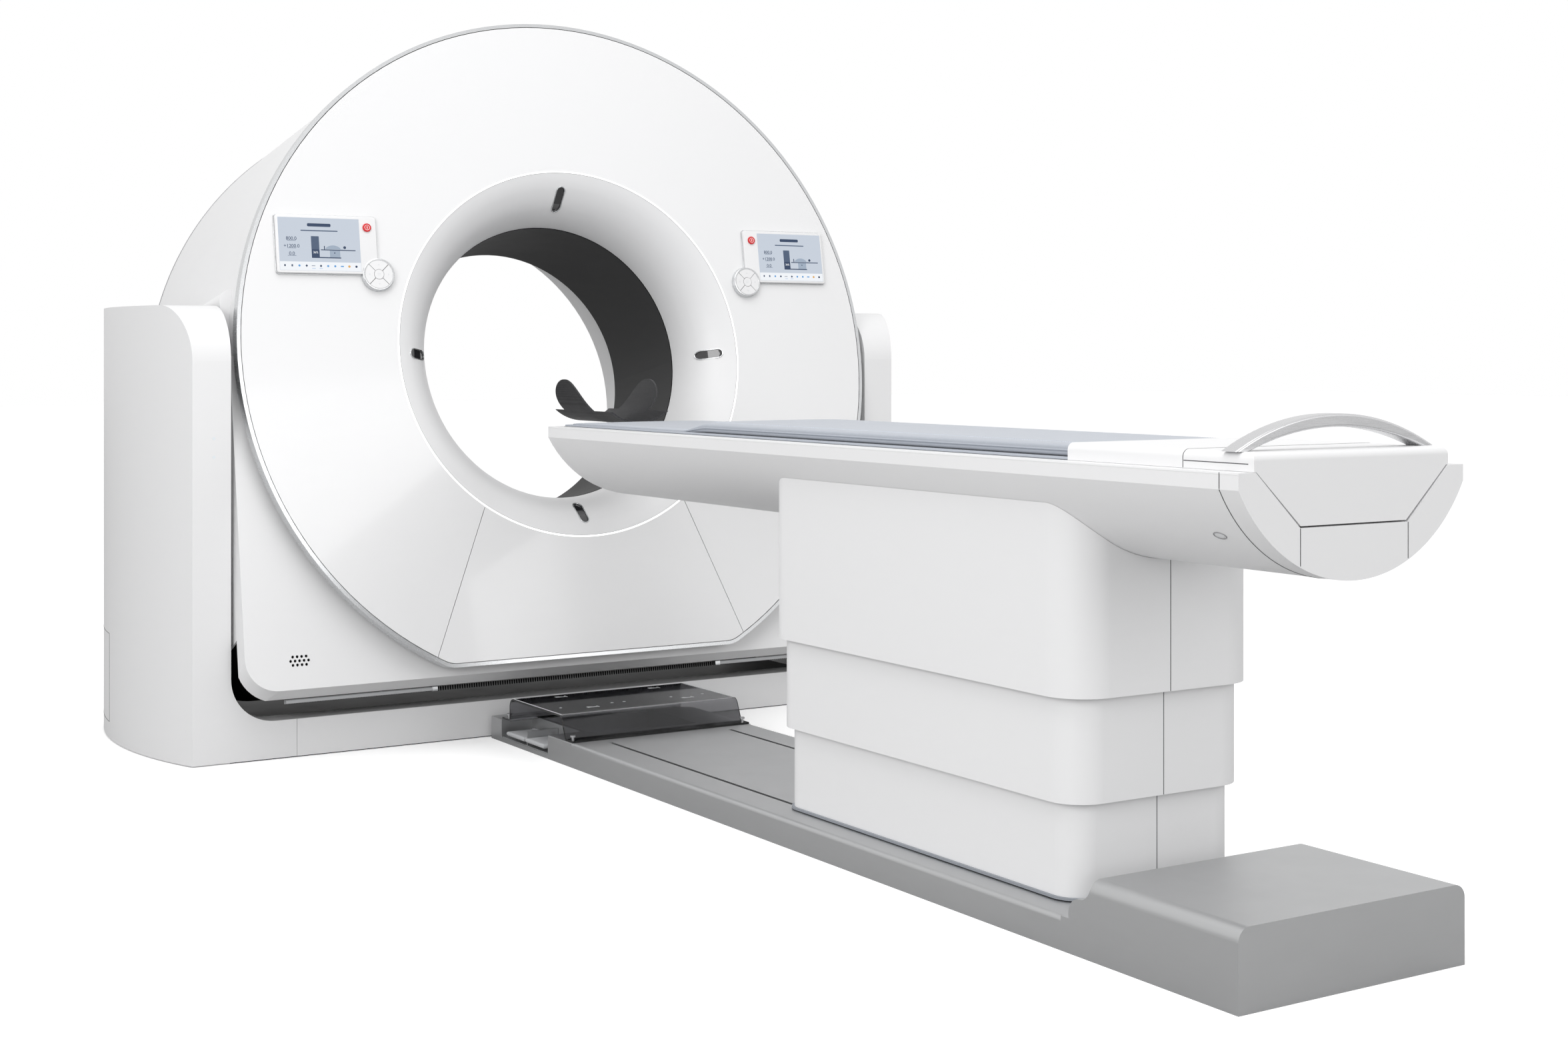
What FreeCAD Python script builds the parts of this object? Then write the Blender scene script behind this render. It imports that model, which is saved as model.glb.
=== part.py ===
import FreeCAD, Part
import math
import os
import re
import Sketcher

from FreeCAD import Placement, Rotation, Vector

# A medical CT scanner: a tilting ring gantry in a U-shaped stand, and a patient
# table that lifts, and that travels on a rail towards the gantry.
# Frame: origin on the floor under the front of the bore, +X to the right seen from the
# table, +Y from the table to the back of the gantry, +Z up.  Millimetres and degrees.

DIMENSIONS = (
    # stand
    ("pillar_inner", 1006, "inner face of a pillar, from the middle"),
    ("pillar_outer", 1108, "front outer corner of a pillar, from the middle"),
    ("pillar_bulge", 80, "how far a pillar's side bulges past that corner"),
    ("stand_depth", 900, "depth of a pillar"),
    ("stand_height", 1225, "height of a pillar"),
    ("pillar_shoulder", 150, "round at the top front and top rear edges"),
    ("foot_reach", 828, "seam between a pillar's foot and the crossbar"),
    ("crossbar_height", 104, "height of the front crossbar"),
    ("crossbar_depth", 88, "depth of the front crossbar"),
    ("foot_corner", 120, "round between a pillar and its foot"),
    ("cover_wall", 5, "wall of the moulded covers"),
    ("floor_gap", 3, "gap under the stand's covers"),
    ("seam_gap", 2, "gap between two covers"),
    ("base_height", 46, "height of the steel base"),
    ("base_rear", 30, "from the rear of the stand to the steel base"),
    ("post_width", 70, "post, across the stand"),
    ("post_depth", 180, "post, along the bore"),
    ("post_wall", 10, "wall of the posts"),
    ("post_inset", 24, "from a pillar's inner face to its post"),
    ("joint_plate_thick", 2.4, "plate under the crossbar that the rail is bolted to"),
    ("joint_plate_half_width", 150, "that plate, half width"),
    # tilt axis
    ("pivot_height", 1033, "tilt axis above the floor"),
    ("pivot_setback", 394, "tilt axis behind the front of the stand"),
    ("pivot_depth", 400, "tilt axis behind the gantry's front face"),
    ("rest_tilt", 9.6, "top of the gantry leans back by this angle"),
    ("trunnion_radius", 55, "trunnion shaft"),
    ("bearing_radius", 80, "trunnion bearing, outside"),
    ("bearing_width", 40, "trunnion bearing, along its axis"),
    ("running_gap", 0.05, "radial clearance of a bearing"),
    ("shaft_room", 12, "gap round a trunnion where it enters a pillar"),
    ("shaft_play", 3, "gap round a trunnion in the gantry's covers"),
    ("shaft_hold", 5, "how deep a trunnion sits in its arm"),
    # gantry covers
    ("bore_radius", 410, "clear patient bore"),
    ("disc_radius", 978, "front cover"),
    ("disc_flat", 872, "flat bottom of the front cover, below the bore centre"),
    ("disc_corner", 75, "round between the disc and its flat"),
    ("disc_skirt", 34, "depth of the front cover's rim"),
    ("trim_inner", 980, "silver trim, inside radius"),
    ("trim_width", 10, "silver trim, radial width"),
    ("trim_depth", 35, "silver trim, depth"),
    ("led_inner", 537.5, "light ring, inside radius"),
    ("led_width", 5, "light ring, width"),
    ("led_depth", 8, "light ring, depth"),
    ("funnel_depth", 180, "front funnel, along the bore"),
    ("funnel_round", 190, "curve of the front funnel"),
    ("liner_wall", 6, "wall of the bore liner"),
    ("liner_end", 586, "end of the bore liner, behind the front face"),
    ("gantry_depth", 956, "front face to rear cover"),
    ("rear_flare", 560, "rear funnel at the rear cover"),
    ("shroud_wall", 5, "wall of the drum's covers"),
    ("body_half_width", 997, "side covers, from the middle"),
    ("pod_top", 190, "top of the side pods above the tilt axis"),
    ("pod_round", 30, "round on the side pods"),
    ("pod_reach", 50, "how far a pod runs in over the drum"),
    ("service_top", 315, "half width of the service cover at the light ring"),
    ("service_foot", 490, "half width of the service cover at its foot"),
    ("apron_front", 60, "lower front panel, behind the front face"),
    ("apron_half_width", 993, "lower front panel, from the middle"),
    ("apron_drop", 905, "lower front panel, below the bore centre"),
    ("apron_corner", 90, "round of the lower front panel"),
    ("apron_lip", 22, "how much lower the lip behind the panel ends"),
    ("apron_lip_depth", 50, "depth of that lip"),
    ("belly_radius", 922, "belly cover about the tilt axis"),
    ("belly_corner", 115, "round at both ends of the belly cover"),
    ("belly_play", 5.5, "gap between the belly cover and the side covers"),
    ("grille_x", 846.5, "speaker grille, from the middle"),
    ("grille_drop", 829, "speaker grille, below the bore centre"),
    ("grille_hole", 4, "radius of a grille hole"),
    ("grille_pitch", 12.2, "grille holes, sideways"),
    ("grille_row", 11, "grille holes, between rows"),
    # windows of the positioning lights
    ("window_radius", 468, "middle of a window from the bore axis"),
    ("window_length", 62, "window, radially"),
    ("window_width", 26, "window, across"),
    # control panels
    ("panel_near", 589, "inner edge of a control panel, from the middle"),
    ("panel_far", 873, "outer edge of a control panel, from the middle"),
    ("panel_low", 216, "lower edge of a control panel, above the bore centre"),
    ("panel_high", 379, "upper edge of a control panel, above the bore centre"),
    ("panel_thick", 12, "how far a control panel stands out"),
    ("screen_near", 638, "inner edge of a screen, from the middle"),
    ("screen_far", 866, "outer edge of a screen, from the middle"),
    ("screen_low", 223, "lower edge of a screen"),
    ("screen_high", 371, "upper edge of a screen"),
    ("screen_thick", 3, "thickness of a screen"),
    ("stop_x", 616, "stop button, from the middle"),
    ("stop_up", 348, "stop button, above the bore centre"),
    ("stop_radius", 12, "stop button"),
    ("stop_stand", 4, "how far a stop button stands out of its panel"),
    ("stop_well", 5, "depth of a stop button's well beyond its travel"),
    ("stop_play", 0.4, "gap round a stop button"),
    ("stop_round", 1.5, "round on a stop button"),
    ("pad_radius", 46, "boss of the key pad"),
    ("pad_ring", 40, "inside of the pad's silver ring"),
    ("pad_stand", 3, "how far the boss stands out of the panel"),
    ("well_floor", 4, "depth of a key's well beyond its travel"),
    ("key_play", 0.6, "gap outside the sector keys"),
    ("key_clear", 0.3, "gap behind a pressed key"),
    ("centre_stand", 0.5, "how far a centre key stands out of its boss"),
    ("key_inner", 14.6, "sector keys, inside radius"),
    ("key_slot", 1.6, "gap beside a key"),
    ("centre_key", 13.5, "centre key, radius"),
    ("key_travel", 1, "travel of a key"),
    ("stop_travel", 2, "travel of a stop button"),
    # inside the gantry
    ("plate_front", 640, "tilt frame's ring plate, behind the front face"),
    ("plate_thick", 50, "ring plate"),
    ("plate_radius", 855, "ring plate, outside"),
    ("plate_bore", 525, "ring plate, inside"),
    ("arm_inner", 900, "side arms of the tilt frame, inner face"),
    ("arm_front", 300, "front end of the side arms"),
    ("arm_half_height", 90, "side arms, half height"),
    ("arm_lap", 60, "how far the arms' feet lap the ring plate"),
    ("race_radius", 560, "main bearing, running surface"),
    ("race_outer", 640, "main bearing, outside"),
    ("race_depth", 42, "main bearing, depth"),
    ("rotor_bore", 500, "rotor, inside"),
    ("rotor_radius", 880, "rotor plate, outside"),
    ("rotor_thick", 37, "rotor plate"),
    ("rotor_gap", 5, "rotor plate to the outer race"),
    ("race_inset", 2, "inner race, short of the ring plate"),
    ("tube_orbit", 700, "X-ray tube, from the bore axis"),
    ("tube_radius", 105, "X-ray tube housing"),
    ("tube_length", 300, "X-ray tube housing"),
    ("collimator_half_width", 90, "collimator under the tube"),
    ("collimator_depth", 100, "collimator, along the bore"),
    ("collimator_drop", 70, "collimator, below the tube"),
    ("detector_inner", 600, "detector arc, inside radius"),
    ("detector_outer", 720, "detector arc, outside radius"),
    ("detector_depth", 130, "detector arc, along the bore"),
    ("detector_half_width", 430, "detector arc, half width"),
    ("tank_x", 690, "high voltage tanks, from the middle"),
    ("tank_width", 180, "high voltage tanks"),
    ("tank_height", 260, "high voltage tanks"),
    ("tank_depth", 220, "high voltage tanks"),
    ("slip_ring_wall", 25, "slip ring"),
    ("slip_ring_depth", 100, "slip ring, along the bore"),
    # rail
    ("rail_half_width", 273, "rail, from the middle"),
    ("rail_height", 64, "rail, above the floor"),
    ("rail_wall", 6, "wall of the rail"),
    ("rail_edge", 10, "round on the rail's top edges"),
    ("rail_front", -551, "front end of the rail"),
    ("rail_end", -2638, "rear end of the rail"),
    ("slot_x", 180, "slots in the rail, from the middle"),
    ("slot_width", 10, "slots in the rail"),
    ("slot_front", -592, "front end of the slots"),
    ("guide_width", 24, "linear guides under the slots"),
    ("guide_height", 20, "linear guides"),
    ("block_front", -21, "front end of the rail's front block"),
    ("recess_inner", -178, "pedal recess, inner wall"),
    ("recess_front", -93, "pedal recess, end nearest the gantry"),
    ("recess_rear", -402, "pedal recess, far end"),
    ("recess_floor", 12, "pedal recess, floor"),
    ("tray_half_width", 150, "cable tray under the hood, half width"),
    ("tray_edge", 12, "wall between the recess and the cable tray"),
    ("tray_inset", 20, "cable tray, in from the hood's walls"),
    ("end_box_rear", -3112, "rear end of the end box"),
    ("end_box_height", 146, "end box, above the floor"),
    ("end_ramp_front", -2662, "foot of the end box's ramp"),
    ("end_ramp_rear", -2722, "top of the end box's ramp"),
    ("end_box_round", 25, "round on the end box's side top edges"),
    # hood
    ("hood_half_width", 268, "smoked hood, from the middle"),
    ("hood_wall", 5, "wall of the hood"),
    ("hood_top", 128, "top of the hood, above the floor"),
    ("hood_front", -86, "edge of the hood's flange nearest the gantry"),
    ("hood_wall_front", -136, "hood wall nearest the gantry"),
    ("hood_wall_rear", -478, "far hood wall at its top"),
    ("hood_foot_rear", -506, "far hood wall at its foot"),
    ("hood_rear", -548, "far edge of the hood's flange"),
    ("hood_bend", 24, "bends of the hood"),
    ("screw_x", 258, "thumbscrews, from the middle"),
    ("screw_radius", 7, "thumbscrews"),
    ("screw_neck", 9, "thumbscrew's stem"),
    ("screw_head_low", 7, "underside of a thumbscrew's head above the flange"),
    ("screw_head", 5, "height of a thumbscrew's head"),
    # pedals
    ("pedal_pivot_x", -196, "pedal hinge, from the middle"),
    ("pedal_pivot_z", 30, "pedal hinge, above the floor"),
    ("pedal_reach", 82, "pedal, from its hinge"),
    ("pedal_length", 118, "pedal, along the rail"),
    ("pedal_thick", 12, "pedal"),
    ("pedal_hub", 8, "radius of the pedal's hub"),
    ("pedal_pin", 4, "radius of the hinge pin"),
    ("pedal_play", 3, "gap at each end of a pedal"),
    ("ear_thick", 4, "ears that hold the hinge pins"),
    ("ear_half_width", 8, "ears, half width"),
    ("bracket_thick", 3, "floor plate of the pedals"),
    ("bracket_play", 2, "gap round that plate"),
    ("divider_drop", 10, "divider, below the rail's top"),
    ("divider_y", -262, "divider between the pedals"),
    ("divider_thick", 4, "divider between the pedals"),
    # pedestal
    ("column_front", -1500, "upper cover, end nearest the gantry"),
    ("column_rear", -2629, "upper cover, far end"),
    ("column_half_width", 236, "upper cover, from the middle"),
    ("column_corner", 86, "upper cover, corner round"),
    ("stage_step", 15, "how much smaller each lower cover is"),
    ("stage_step_y", 20, "how much shorter each lower cover is at each end"),
    ("upper_bottom", 451, "lower edge of the upper cover"),
    ("middle_bottom", 250, "lower edge of the middle cover"),
    ("middle_top", 520, "top of the middle cover"),
    ("lower_top", 338, "top of the lower cover"),
    ("carriage_thick", 5, "carriage plate"),
    ("carriage_gap", 2, "carriage plate above the rail"),
    ("carriage_margin", 6, "how far the carriage plate shows past the lower cover"),
    ("leg_thick", 6, "carriage legs in the slots"),
    ("shoe_overhang", 8, "carriage shoes, past the guides on each side"),
    ("shoe_gap", 0.5, "carriage shoes above the guides"),
    ("shoe_room", 6, "carriage shoes below the rail's top wall"),
    ("ram_half_width", 90, "lift column, lowest tube"),
    ("ram_half_depth", 150, "lift column, lowest tube"),
    ("ram_wall", 8, "lift column, wall"),
    ("ram_play", 0.6, "lift column, gap between its tubes"),
    ("shelf_thick", 6, "plate that carries the middle cover"),
    ("ram_middle_bottom", 268, "middle tube, lower end"),
    ("ram_top_bottom", 440, "top tube, lower end"),
    ("head_plate_thick", 14, "plate that carries the tub"),
    ("head_plate_half_width", 60, "that plate, half width"),
    # table top
    ("table_half_width", 271, "table tub, from the middle"),
    ("lip_top", 898, "top of the tub's lips"),
    ("lip_bottom", 869, "lower edge of the tub's lips"),
    ("tub_bottom", 705, "lowest line of the tub"),
    ("tub_wall", 8, "wall of the tub"),
    ("tub_tip", -400, "end of the tub nearest the gantry"),
    ("tub_joint", -3063, "joint between the tub and its end cap"),
    ("table_end", -3110, "far end of the table"),
    ("channel_top", 232, "half width of the tub's channel at the lips"),
    ("channel_floor", 130, "half width of the tub's channel at its floor"),
    ("channel_bottom", 801, "floor of the tub's channel"),
    ("cradle_gap", 3, "clearance of the cradle in the tub"),
    ("cradle_wall", 6, "skin of the cradle"),
    ("cradle_rise", 0.4, "cradle top above the tub's lips"),
    ("cradle_tail", 22, "end panel's far side to the cradle, from the table's end"),
    ("cradle_nose", 10, "cradle, short of the tub's tip"),
    ("end_panel_inset", 2, "end panel, in from the table's end"),
    ("cover_factor", 1.3, "how much thicker the cradle's walls are across their slant"),
    ("tub_factor", 1.4, "how much thicker the tub's walls are across their slant"),
    ("pad_half_width", 205, "mattress, from the middle"),
    ("pad_end", 12, "mattress, short of the tub's tip"),
    ("pad_thin", 8, "mattress at the head end"),
    ("pad_thick", 32, "mattress at the far end"),
    ("pad_ramp_front", -1030, "where the mattress starts to rise"),
    ("pad_ramp_rear", -1170, "where the mattress has risen"),
    ("console_front", -2609, "console, end nearest the gantry"),
    ("console_half_width", 234, "console, from the middle"),
    ("console_top", 931, "top of the console"),
    ("console_round", 14, "round on the console's edges"),
    ("handle_y", -3050, "middle of the handle"),
    ("handle_depth", 40, "handle, along the table"),
    ("handle_foot", 240, "handle foot, from the middle"),
    ("handle_rise", 61, "handle above the console"),
    ("handle_bar", 23, "thickness of the handle's arch"),
    ("handle_round", 4, "round on the handle's edges"),
    ("holder_front", -50, "head holder, far end"),
    ("holder_radius", 134, "head holder trough, outside"),
    ("holder_lap", 8, "holder, back over the cradle"),
    ("holder_end", 5, "end of the trough, past its low wall"),
    ("wing_cut", 25, "cut above the trough, back from the tub's tip"),
    ("holder_wall", 5, "head holder trough, wall"),
    ("holder_base", 900, "lowest line of the head holder"),
    ("holder_low", 34, "height of the trough between its wings"),
    ("holder_high", 122, "height of the wings"),
    ("tongue_half_width", 45, "head holder's tongue in the cradle"),
    ("tongue_length", 80, "head holder's tongue in the cradle"),
    ("wing_front", -112, "wings, end nearest the gantry"),
    ("wing_rear", -292, "wings, far end"),
)

ALIASES = {alias for alias, number, meaning in DIMENSIONS}
NAME = re.compile(r"[a-z_]+")

doc = FreeCAD.newDocument("ct_scanner")
sheet = doc.addObject("Spreadsheet::Sheet", "size")
for row, (alias, number, meaning) in enumerate(DIMENSIONS, start=1):
    sheet.set("A%d" % row, meaning)
    sheet.set("B%d" % row, str(number))
    sheet.setAlias("B%d" % row, alias)
doc.recompute()

BODIES = []


# ---------------------------------------------------------------- shared tools

def bound(text):
    """An expression in dimension names, tied to the spreadsheet."""
    return NAME.sub(lambda word: "size." + word.group() if word.group() in ALIASES else word.group(),
                    str(text))


def value(text):
    """The number that an expression in dimension names stands for."""
    return float(sheet.evalExpression(bound(text)))


def new_body(label, placed=None):
    """A PartDesign body, at the floor's origin or in one of the gantry's frames."""
    body = doc.addObject("PartDesign::Body", label)
    body.Label = label
    body.AllowCompound = True
    if placed is not None:
        placed(body)
    BODIES.append(body)
    return body


def in_gantry(body):
    """Frame on the front face at the bore axis, leaning back with the gantry."""
    place_tilted(body, "pivot_depth")


def at_pivot(body):
    """Frame on the tilt axis, leaning back with the gantry."""
    place_tilted(body, "0")


def place_tilted(body, distance):
    body.Placement = Placement(Vector(), Rotation(Vector(-1, 0, 0), value("rest_tilt")))
    body.setExpression("Placement.Rotation.Angle", bound("rest_tilt * 1 deg"))
    base_y = "pivot_setback - (%s) * cos(rest_tilt * 1 deg)" % distance
    base_z = "pivot_height + (%s) * sin(rest_tilt * 1 deg)" % distance
    body.setExpression("Placement.Base.y", bound(base_y))
    body.setExpression("Placement.Base.z", bound(base_z))


def origin_feature(body, role):
    return next(item for item in body.Origin.OriginFeatures if item.Role == role)


def sketch_on(body, plane, start="0"):
    """A sketch parallel to plane XY, XZ or YZ, at distance start along Z, Y or X."""
    sketch = body.newObject("Sketcher::SketchObject", body.Label + "_outline")
    sketch.AttachmentSupport = [(origin_feature(body, plane + "_Plane"), "")]
    sketch.MapMode = "FlatFace"
    side = "-1" if plane == "XZ" else "1"
    sketch.setExpression("AttachmentOffset.Base.z", bound("%s * (%s)" % (side, start)))
    return sketch


def tie(sketch, constraint, expression):
    sketch.setExpression("Constraints[%d]" % constraint, bound(expression))


def place_point(sketch, geometry, point, across, up):
    """Fix a point of the sketch by its two distances from the origin."""
    for kind, distance in (("DistanceX", across), ("DistanceY", up)):
        index = sketch.addConstraint(
            Sketcher.Constraint(kind, -1, 1, geometry, point, value(distance)))
        tie(sketch, index, distance)


def draw_outline(sketch, corners):
    """A closed outline.  A corner is (across, up) or (across, up, radius): the side that
    leaves it is then an arc, bulging to the right of its way for a positive radius."""
    points = [Vector(value(corner[0]), value(corner[1]), 0) for corner in corners]
    sides = []
    for index, corner in enumerate(corners):
        first, last = points[index], points[(index + 1) % len(points)]
        if len(corner) == 2:
            sides.append((sketch.addGeometry(Part.LineSegment(first, last), False), 1, 2))
            continue
        radius = value(corner[2])
        way = (last - first).normalize()
        right = Vector(way.y, -way.x, 0) * math.copysign(1, radius)
        half = (last - first).Length / 2
        rise = abs(radius) - math.sqrt(max(radius ** 2 - half ** 2, 0))
        arc = Part.Arc(first, (first + last) / 2 + right * rise, last)
        number = sketch.addGeometry(arc, False)
        ends = (1, 2) if radius > 0 else (2, 1)
        sides.append((number,) + ends)
        if abs(radius) - half < 1e-6:
            sketch.addConstraint(Sketcher.Constraint("Symmetric", number, 1, number, 2, number, 3))
        else:
            index = sketch.addConstraint(Sketcher.Constraint("Radius", number, abs(radius)))
            tie(sketch, index, "abs(%s)" % corner[2])
    for before, after in zip(sides, sides[1:] + sides[:1]):
        sketch.addConstraint(Sketcher.Constraint("Coincident", before[0], before[2], after[0], after[1]))
    for side, corner in zip(sides, corners):
        place_point(sketch, side[0], side[1], corner[0], corner[1])


def draw_box(sketch, left, right, low, high):
    draw_outline(sketch, ((left, low), (right, low), (right, high), (left, high)))


def draw_circle(sketch, across, up, radius):
    centre = Vector(value(across), value(up), 0)
    number = sketch.addGeometry(Part.Circle(centre, Vector(0, 0, 1), value(radius)), False)
    place_point(sketch, number, 3, across, up)
    index = sketch.addConstraint(Sketcher.Constraint("Radius", number, value(radius)))
    tie(sketch, index, radius)


def extrude(body, plane, start, length, draw, cut=False):
    """Add or remove a prism that runs from start by length along the plane's axis."""
    sketch = sketch_on(body, plane, start)
    draw(sketch)
    kind = "Pocket" if cut else "Pad"
    feature = body.newObject("PartDesign::" + kind, body.Label + "_" + kind.lower())
    feature.Profile = sketch
    feature.setExpression("Length", bound(length))
    feature.Reversed = (plane == "XZ") != cut
    sketch.Visibility = False
    return feature


def revolve(body, plane, axis, draw, angle="360", both=False):
    """Turn an outline about one of the body's own axes."""
    sketch = sketch_on(body, plane)
    draw(sketch)
    feature = body.newObject("PartDesign::Revolution", body.Label + "_revolution")
    feature.Profile = sketch
    feature.ReferenceAxis = (origin_feature(body, axis + "_Axis"), [""])
    feature.setExpression("Angle", bound(angle))
    feature.Midplane = both
    return feature


def round_edges(body, radius, choose, kind="Fillet"):
    """Round, or chamfer, the edges for which choose(middle, way) is true."""
    doc.recompute()
    base = body.Tip
    names = []
    for number, edge in enumerate(base.Shape.Edges, start=1):
        start, end = edge.Vertexes[0].Point, edge.Vertexes[-1].Point
        middle = edge.valueAt((edge.FirstParameter + edge.LastParameter) / 2)
        way = (end - start).normalize() if (end - start).Length > 1e-6 else Vector()
        if choose(middle, way):
            names.append("Edge%d" % number)
    feature = body.newObject("PartDesign::" + kind, body.Label + "_" + kind.lower())
    feature.Base = (base, names)
    feature.setExpression("Radius" if kind == "Fillet" else "Size", bound(radius))
    return feature


def near(number, expression, room=0.5):
    return abs(number - value(expression)) < room


def both_sides():
    return (("left", -1), ("right", 1))


# ---------------------------------------------------------------- stand

BULGE_RADIUS = "((stand_depth / 2) ^ 2 + pillar_bulge ^ 2) / (2 * pillar_bulge)"


def bulge_at(inset):
    """Where a pillar's side, moved in by inset, meets its front moved in by inset."""
    radius = "(%s - %s)" % (BULGE_RADIUS, inset)
    centre = "(pillar_outer + pillar_bulge - %s)" % BULGE_RADIUS
    return "(%s + sqrt(%s ^ 2 - (stand_depth / 2 - %s) ^ 2))" % (centre, radius, inset), radius


def pillar_plan(sketch, side, inset):
    outer, radius = bulge_at(inset)
    draw_outline(sketch, (
        ("%d * (pillar_inner + %s)" % (side, inset), inset),
        ("%d * %s" % (side, outer), inset, "%d * %s" % (side, radius)),
        ("%d * %s" % (side, outer), "stand_depth - %s" % inset),
        ("%d * (pillar_inner + %s)" % (side, inset), "stand_depth - %s" % inset)))


def pillar_cover(name, side):
    """One pillar's moulded cover, hollow and open below, with its half of the front foot."""
    body = new_body(name + "_pillar_cover")
    extrude(body, "XY", "floor_gap", "stand_height - floor_gap",
            lambda sketch: pillar_plan(sketch, side, "0"))
    extrude(body, "XY", "floor_gap", "stand_height - cover_wall - floor_gap",
            lambda sketch: pillar_plan(sketch, side, "cover_wall"), cut=True)
    round_edges(body, "pillar_shoulder - cover_wall",
                lambda middle, way: near(middle.z, "stand_height - cover_wall")
                and abs(way.x) > 0.99)
    round_edges(body, "pillar_shoulder", lambda middle, way: near(middle.z, "stand_height")
                and abs(way.x) > 0.99)
    extrude(body, "XZ", "0", "crossbar_depth", lambda sketch: draw_outline(sketch, (
        ("%d * (pillar_inner + cover_wall)" % side, "floor_gap"),
        ("%d * foot_reach" % side, "floor_gap"),
        ("%d * foot_reach" % side, "crossbar_height"),
        ("%d * (pillar_inner - foot_corner)" % side, "crossbar_height", "%d * foot_corner" % side),
        ("%d * pillar_inner" % side, "crossbar_height + foot_corner"),
        ("%d * (pillar_inner + cover_wall)" % side, "crossbar_height + foot_corner"))))
    reach = ("%d * (foot_reach - 1)" % side, "%d * (pillar_inner + cover_wall)" % side)
    left, right = sorted(reach, key=value)
    extrude(body, "XZ", "cover_wall", "crossbar_depth", lambda sketch: draw_box(
        sketch, left, right, "floor_gap - 1", "crossbar_height - cover_wall"), cut=True)
    wall = "pillar_inner - 1" if side > 0 else "-(pillar_inner + cover_wall + 1)"
    extrude(body, "YZ", wall, "cover_wall + 2", lambda sketch: draw_circle(
        sketch, "pivot_setback", "pivot_height", "trunnion_radius + shaft_room"), cut=True)
    extrude(body, "YZ", wall, "cover_wall + 2", lambda sketch: draw_box(
        sketch, "crossbar_depth", "stand_depth - base_rear", "floor_gap - 1", "base_height"), cut=True)


def crossbar_cover():
    """Angle-shaped cover of the low front beam between the two feet."""
    body = new_body("crossbar_cover")
    length = "2 * (foot_reach - seam_gap / 2)"
    extrude(body, "YZ", "-(foot_reach - seam_gap / 2)", length, lambda sketch: draw_outline(sketch, (
        ("0", "floor_gap"), ("cover_wall", "floor_gap"),
        ("cover_wall", "crossbar_height - cover_wall"),
        ("crossbar_depth", "crossbar_height - cover_wall"),
        ("crossbar_depth", "crossbar_height"), ("0", "crossbar_height"))))


def post_box(sketch, side, inset):
    near_x = "%d * (pillar_inner + post_inset + %s)" % (side, inset)
    far_x = "%d * (pillar_inner + post_inset + post_width - %s)" % (side, inset)
    left, right = sorted((near_x, far_x), key=value)
    draw_box(sketch, left, right, "pivot_setback - post_depth / 2 + %s" % inset,
             "pivot_setback + post_depth / 2 - %s" % inset)


def steel_base():
    """Floor plate with two hollow posts, each with a solid head for its bearing."""
    body = new_body("steel_base")
    reach = "pillar_inner + post_inset + post_width"
    extrude(body, "XY", "0", "base_height", lambda sketch: draw_box(
        sketch, "-(%s)" % reach, reach, "crossbar_depth", "stand_depth - base_rear"))
    extrude(body, "XY", "0", "crossbar_height - cover_wall", lambda sketch: draw_box(
        sketch, "-pillar_inner", "pillar_inner", "cover_wall", "crossbar_depth"))
    extrude(body, "XY", "0", "joint_plate_thick", lambda sketch: draw_box(
        sketch, "-joint_plate_half_width", "joint_plate_half_width", "block_front", "cover_wall + 1"))
    for name, side in both_sides():
        def hollow(sketch):
            post_box(sketch, side, "0")
            post_box(sketch, side, "post_wall")
        extrude(body, "XY", "base_height", "pivot_height - base_height", hollow)
        extrude(body, "XY", "pivot_height - bearing_radius - post_wall",
                "2 * (bearing_radius + post_wall)", lambda sketch: post_box(sketch, side, "0"))
    extrude(body, "YZ", "-(%s)" % reach, "2 * (%s)" % reach, lambda sketch: draw_circle(
        sketch, "pivot_setback", "pivot_height", "bearing_radius"), cut=True)


def trunnion_bearings():
    """The two bearings that carry the gantry's trunnions, one in each post."""
    body = new_body("trunnion_bearings")

    def ring(sketch):
        draw_circle(sketch, "pivot_setback", "pivot_height", "bearing_radius")
        draw_circle(sketch, "pivot_setback", "pivot_height", "trunnion_radius + running_gap")
    extrude(body, "YZ", "pillar_inner + post_inset", "bearing_width", ring)
    extrude(body, "YZ", "-(pillar_inner + post_inset + bearing_width)", "bearing_width", ring)


# ---------------------------------------------------------------- gantry covers

def ring_prism(body, start, depth, inner, outer):
    def ring(sketch):
        draw_circle(sketch, "0", "0", outer)
        draw_circle(sketch, "0", "0", inner)
    return extrude(body, "XZ", start, depth, ring)


def flat_disc(sketch, radius, flat, corner):
    """Circle with a flat bottom, and a round between them."""
    radius, flat, corner = ("(%s)" % item for item in (radius, flat, corner))
    across = "sqrt((%s - %s) ^ 2 - (%s - %s) ^ 2)" % (radius, corner, flat, corner)
    share = "%s / (%s - %s)" % (radius, radius, corner)
    touch_x = "%s * %s" % (across, share)
    touch_z = "-(%s - %s) * %s" % (flat, corner, share)
    draw_outline(sketch, (
        ("-(%s)" % across, "-(%s)" % flat),
        (across, "-(%s)" % flat, corner),
        (touch_x, touch_z, radius),
        ("0", radius, radius),
        ("-(%s)" % touch_x, touch_z, corner)))


SERVICE_TOP_Z = "sqrt((led_inner + led_width + seam_gap / 2) ^ 2 - service_top ^ 2)"
SERVICE_SLOPE = "((service_foot - service_top) / (disc_flat - %s))" % SERVICE_TOP_Z


def seam_line(offset, depth):
    """Half width of the service cover's side, moved out by offset, at a depth."""
    return "(service_top + %s * (%s - %s) + %s)" % (SERVICE_SLOPE, depth, SERVICE_TOP_Z, offset)


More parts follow.
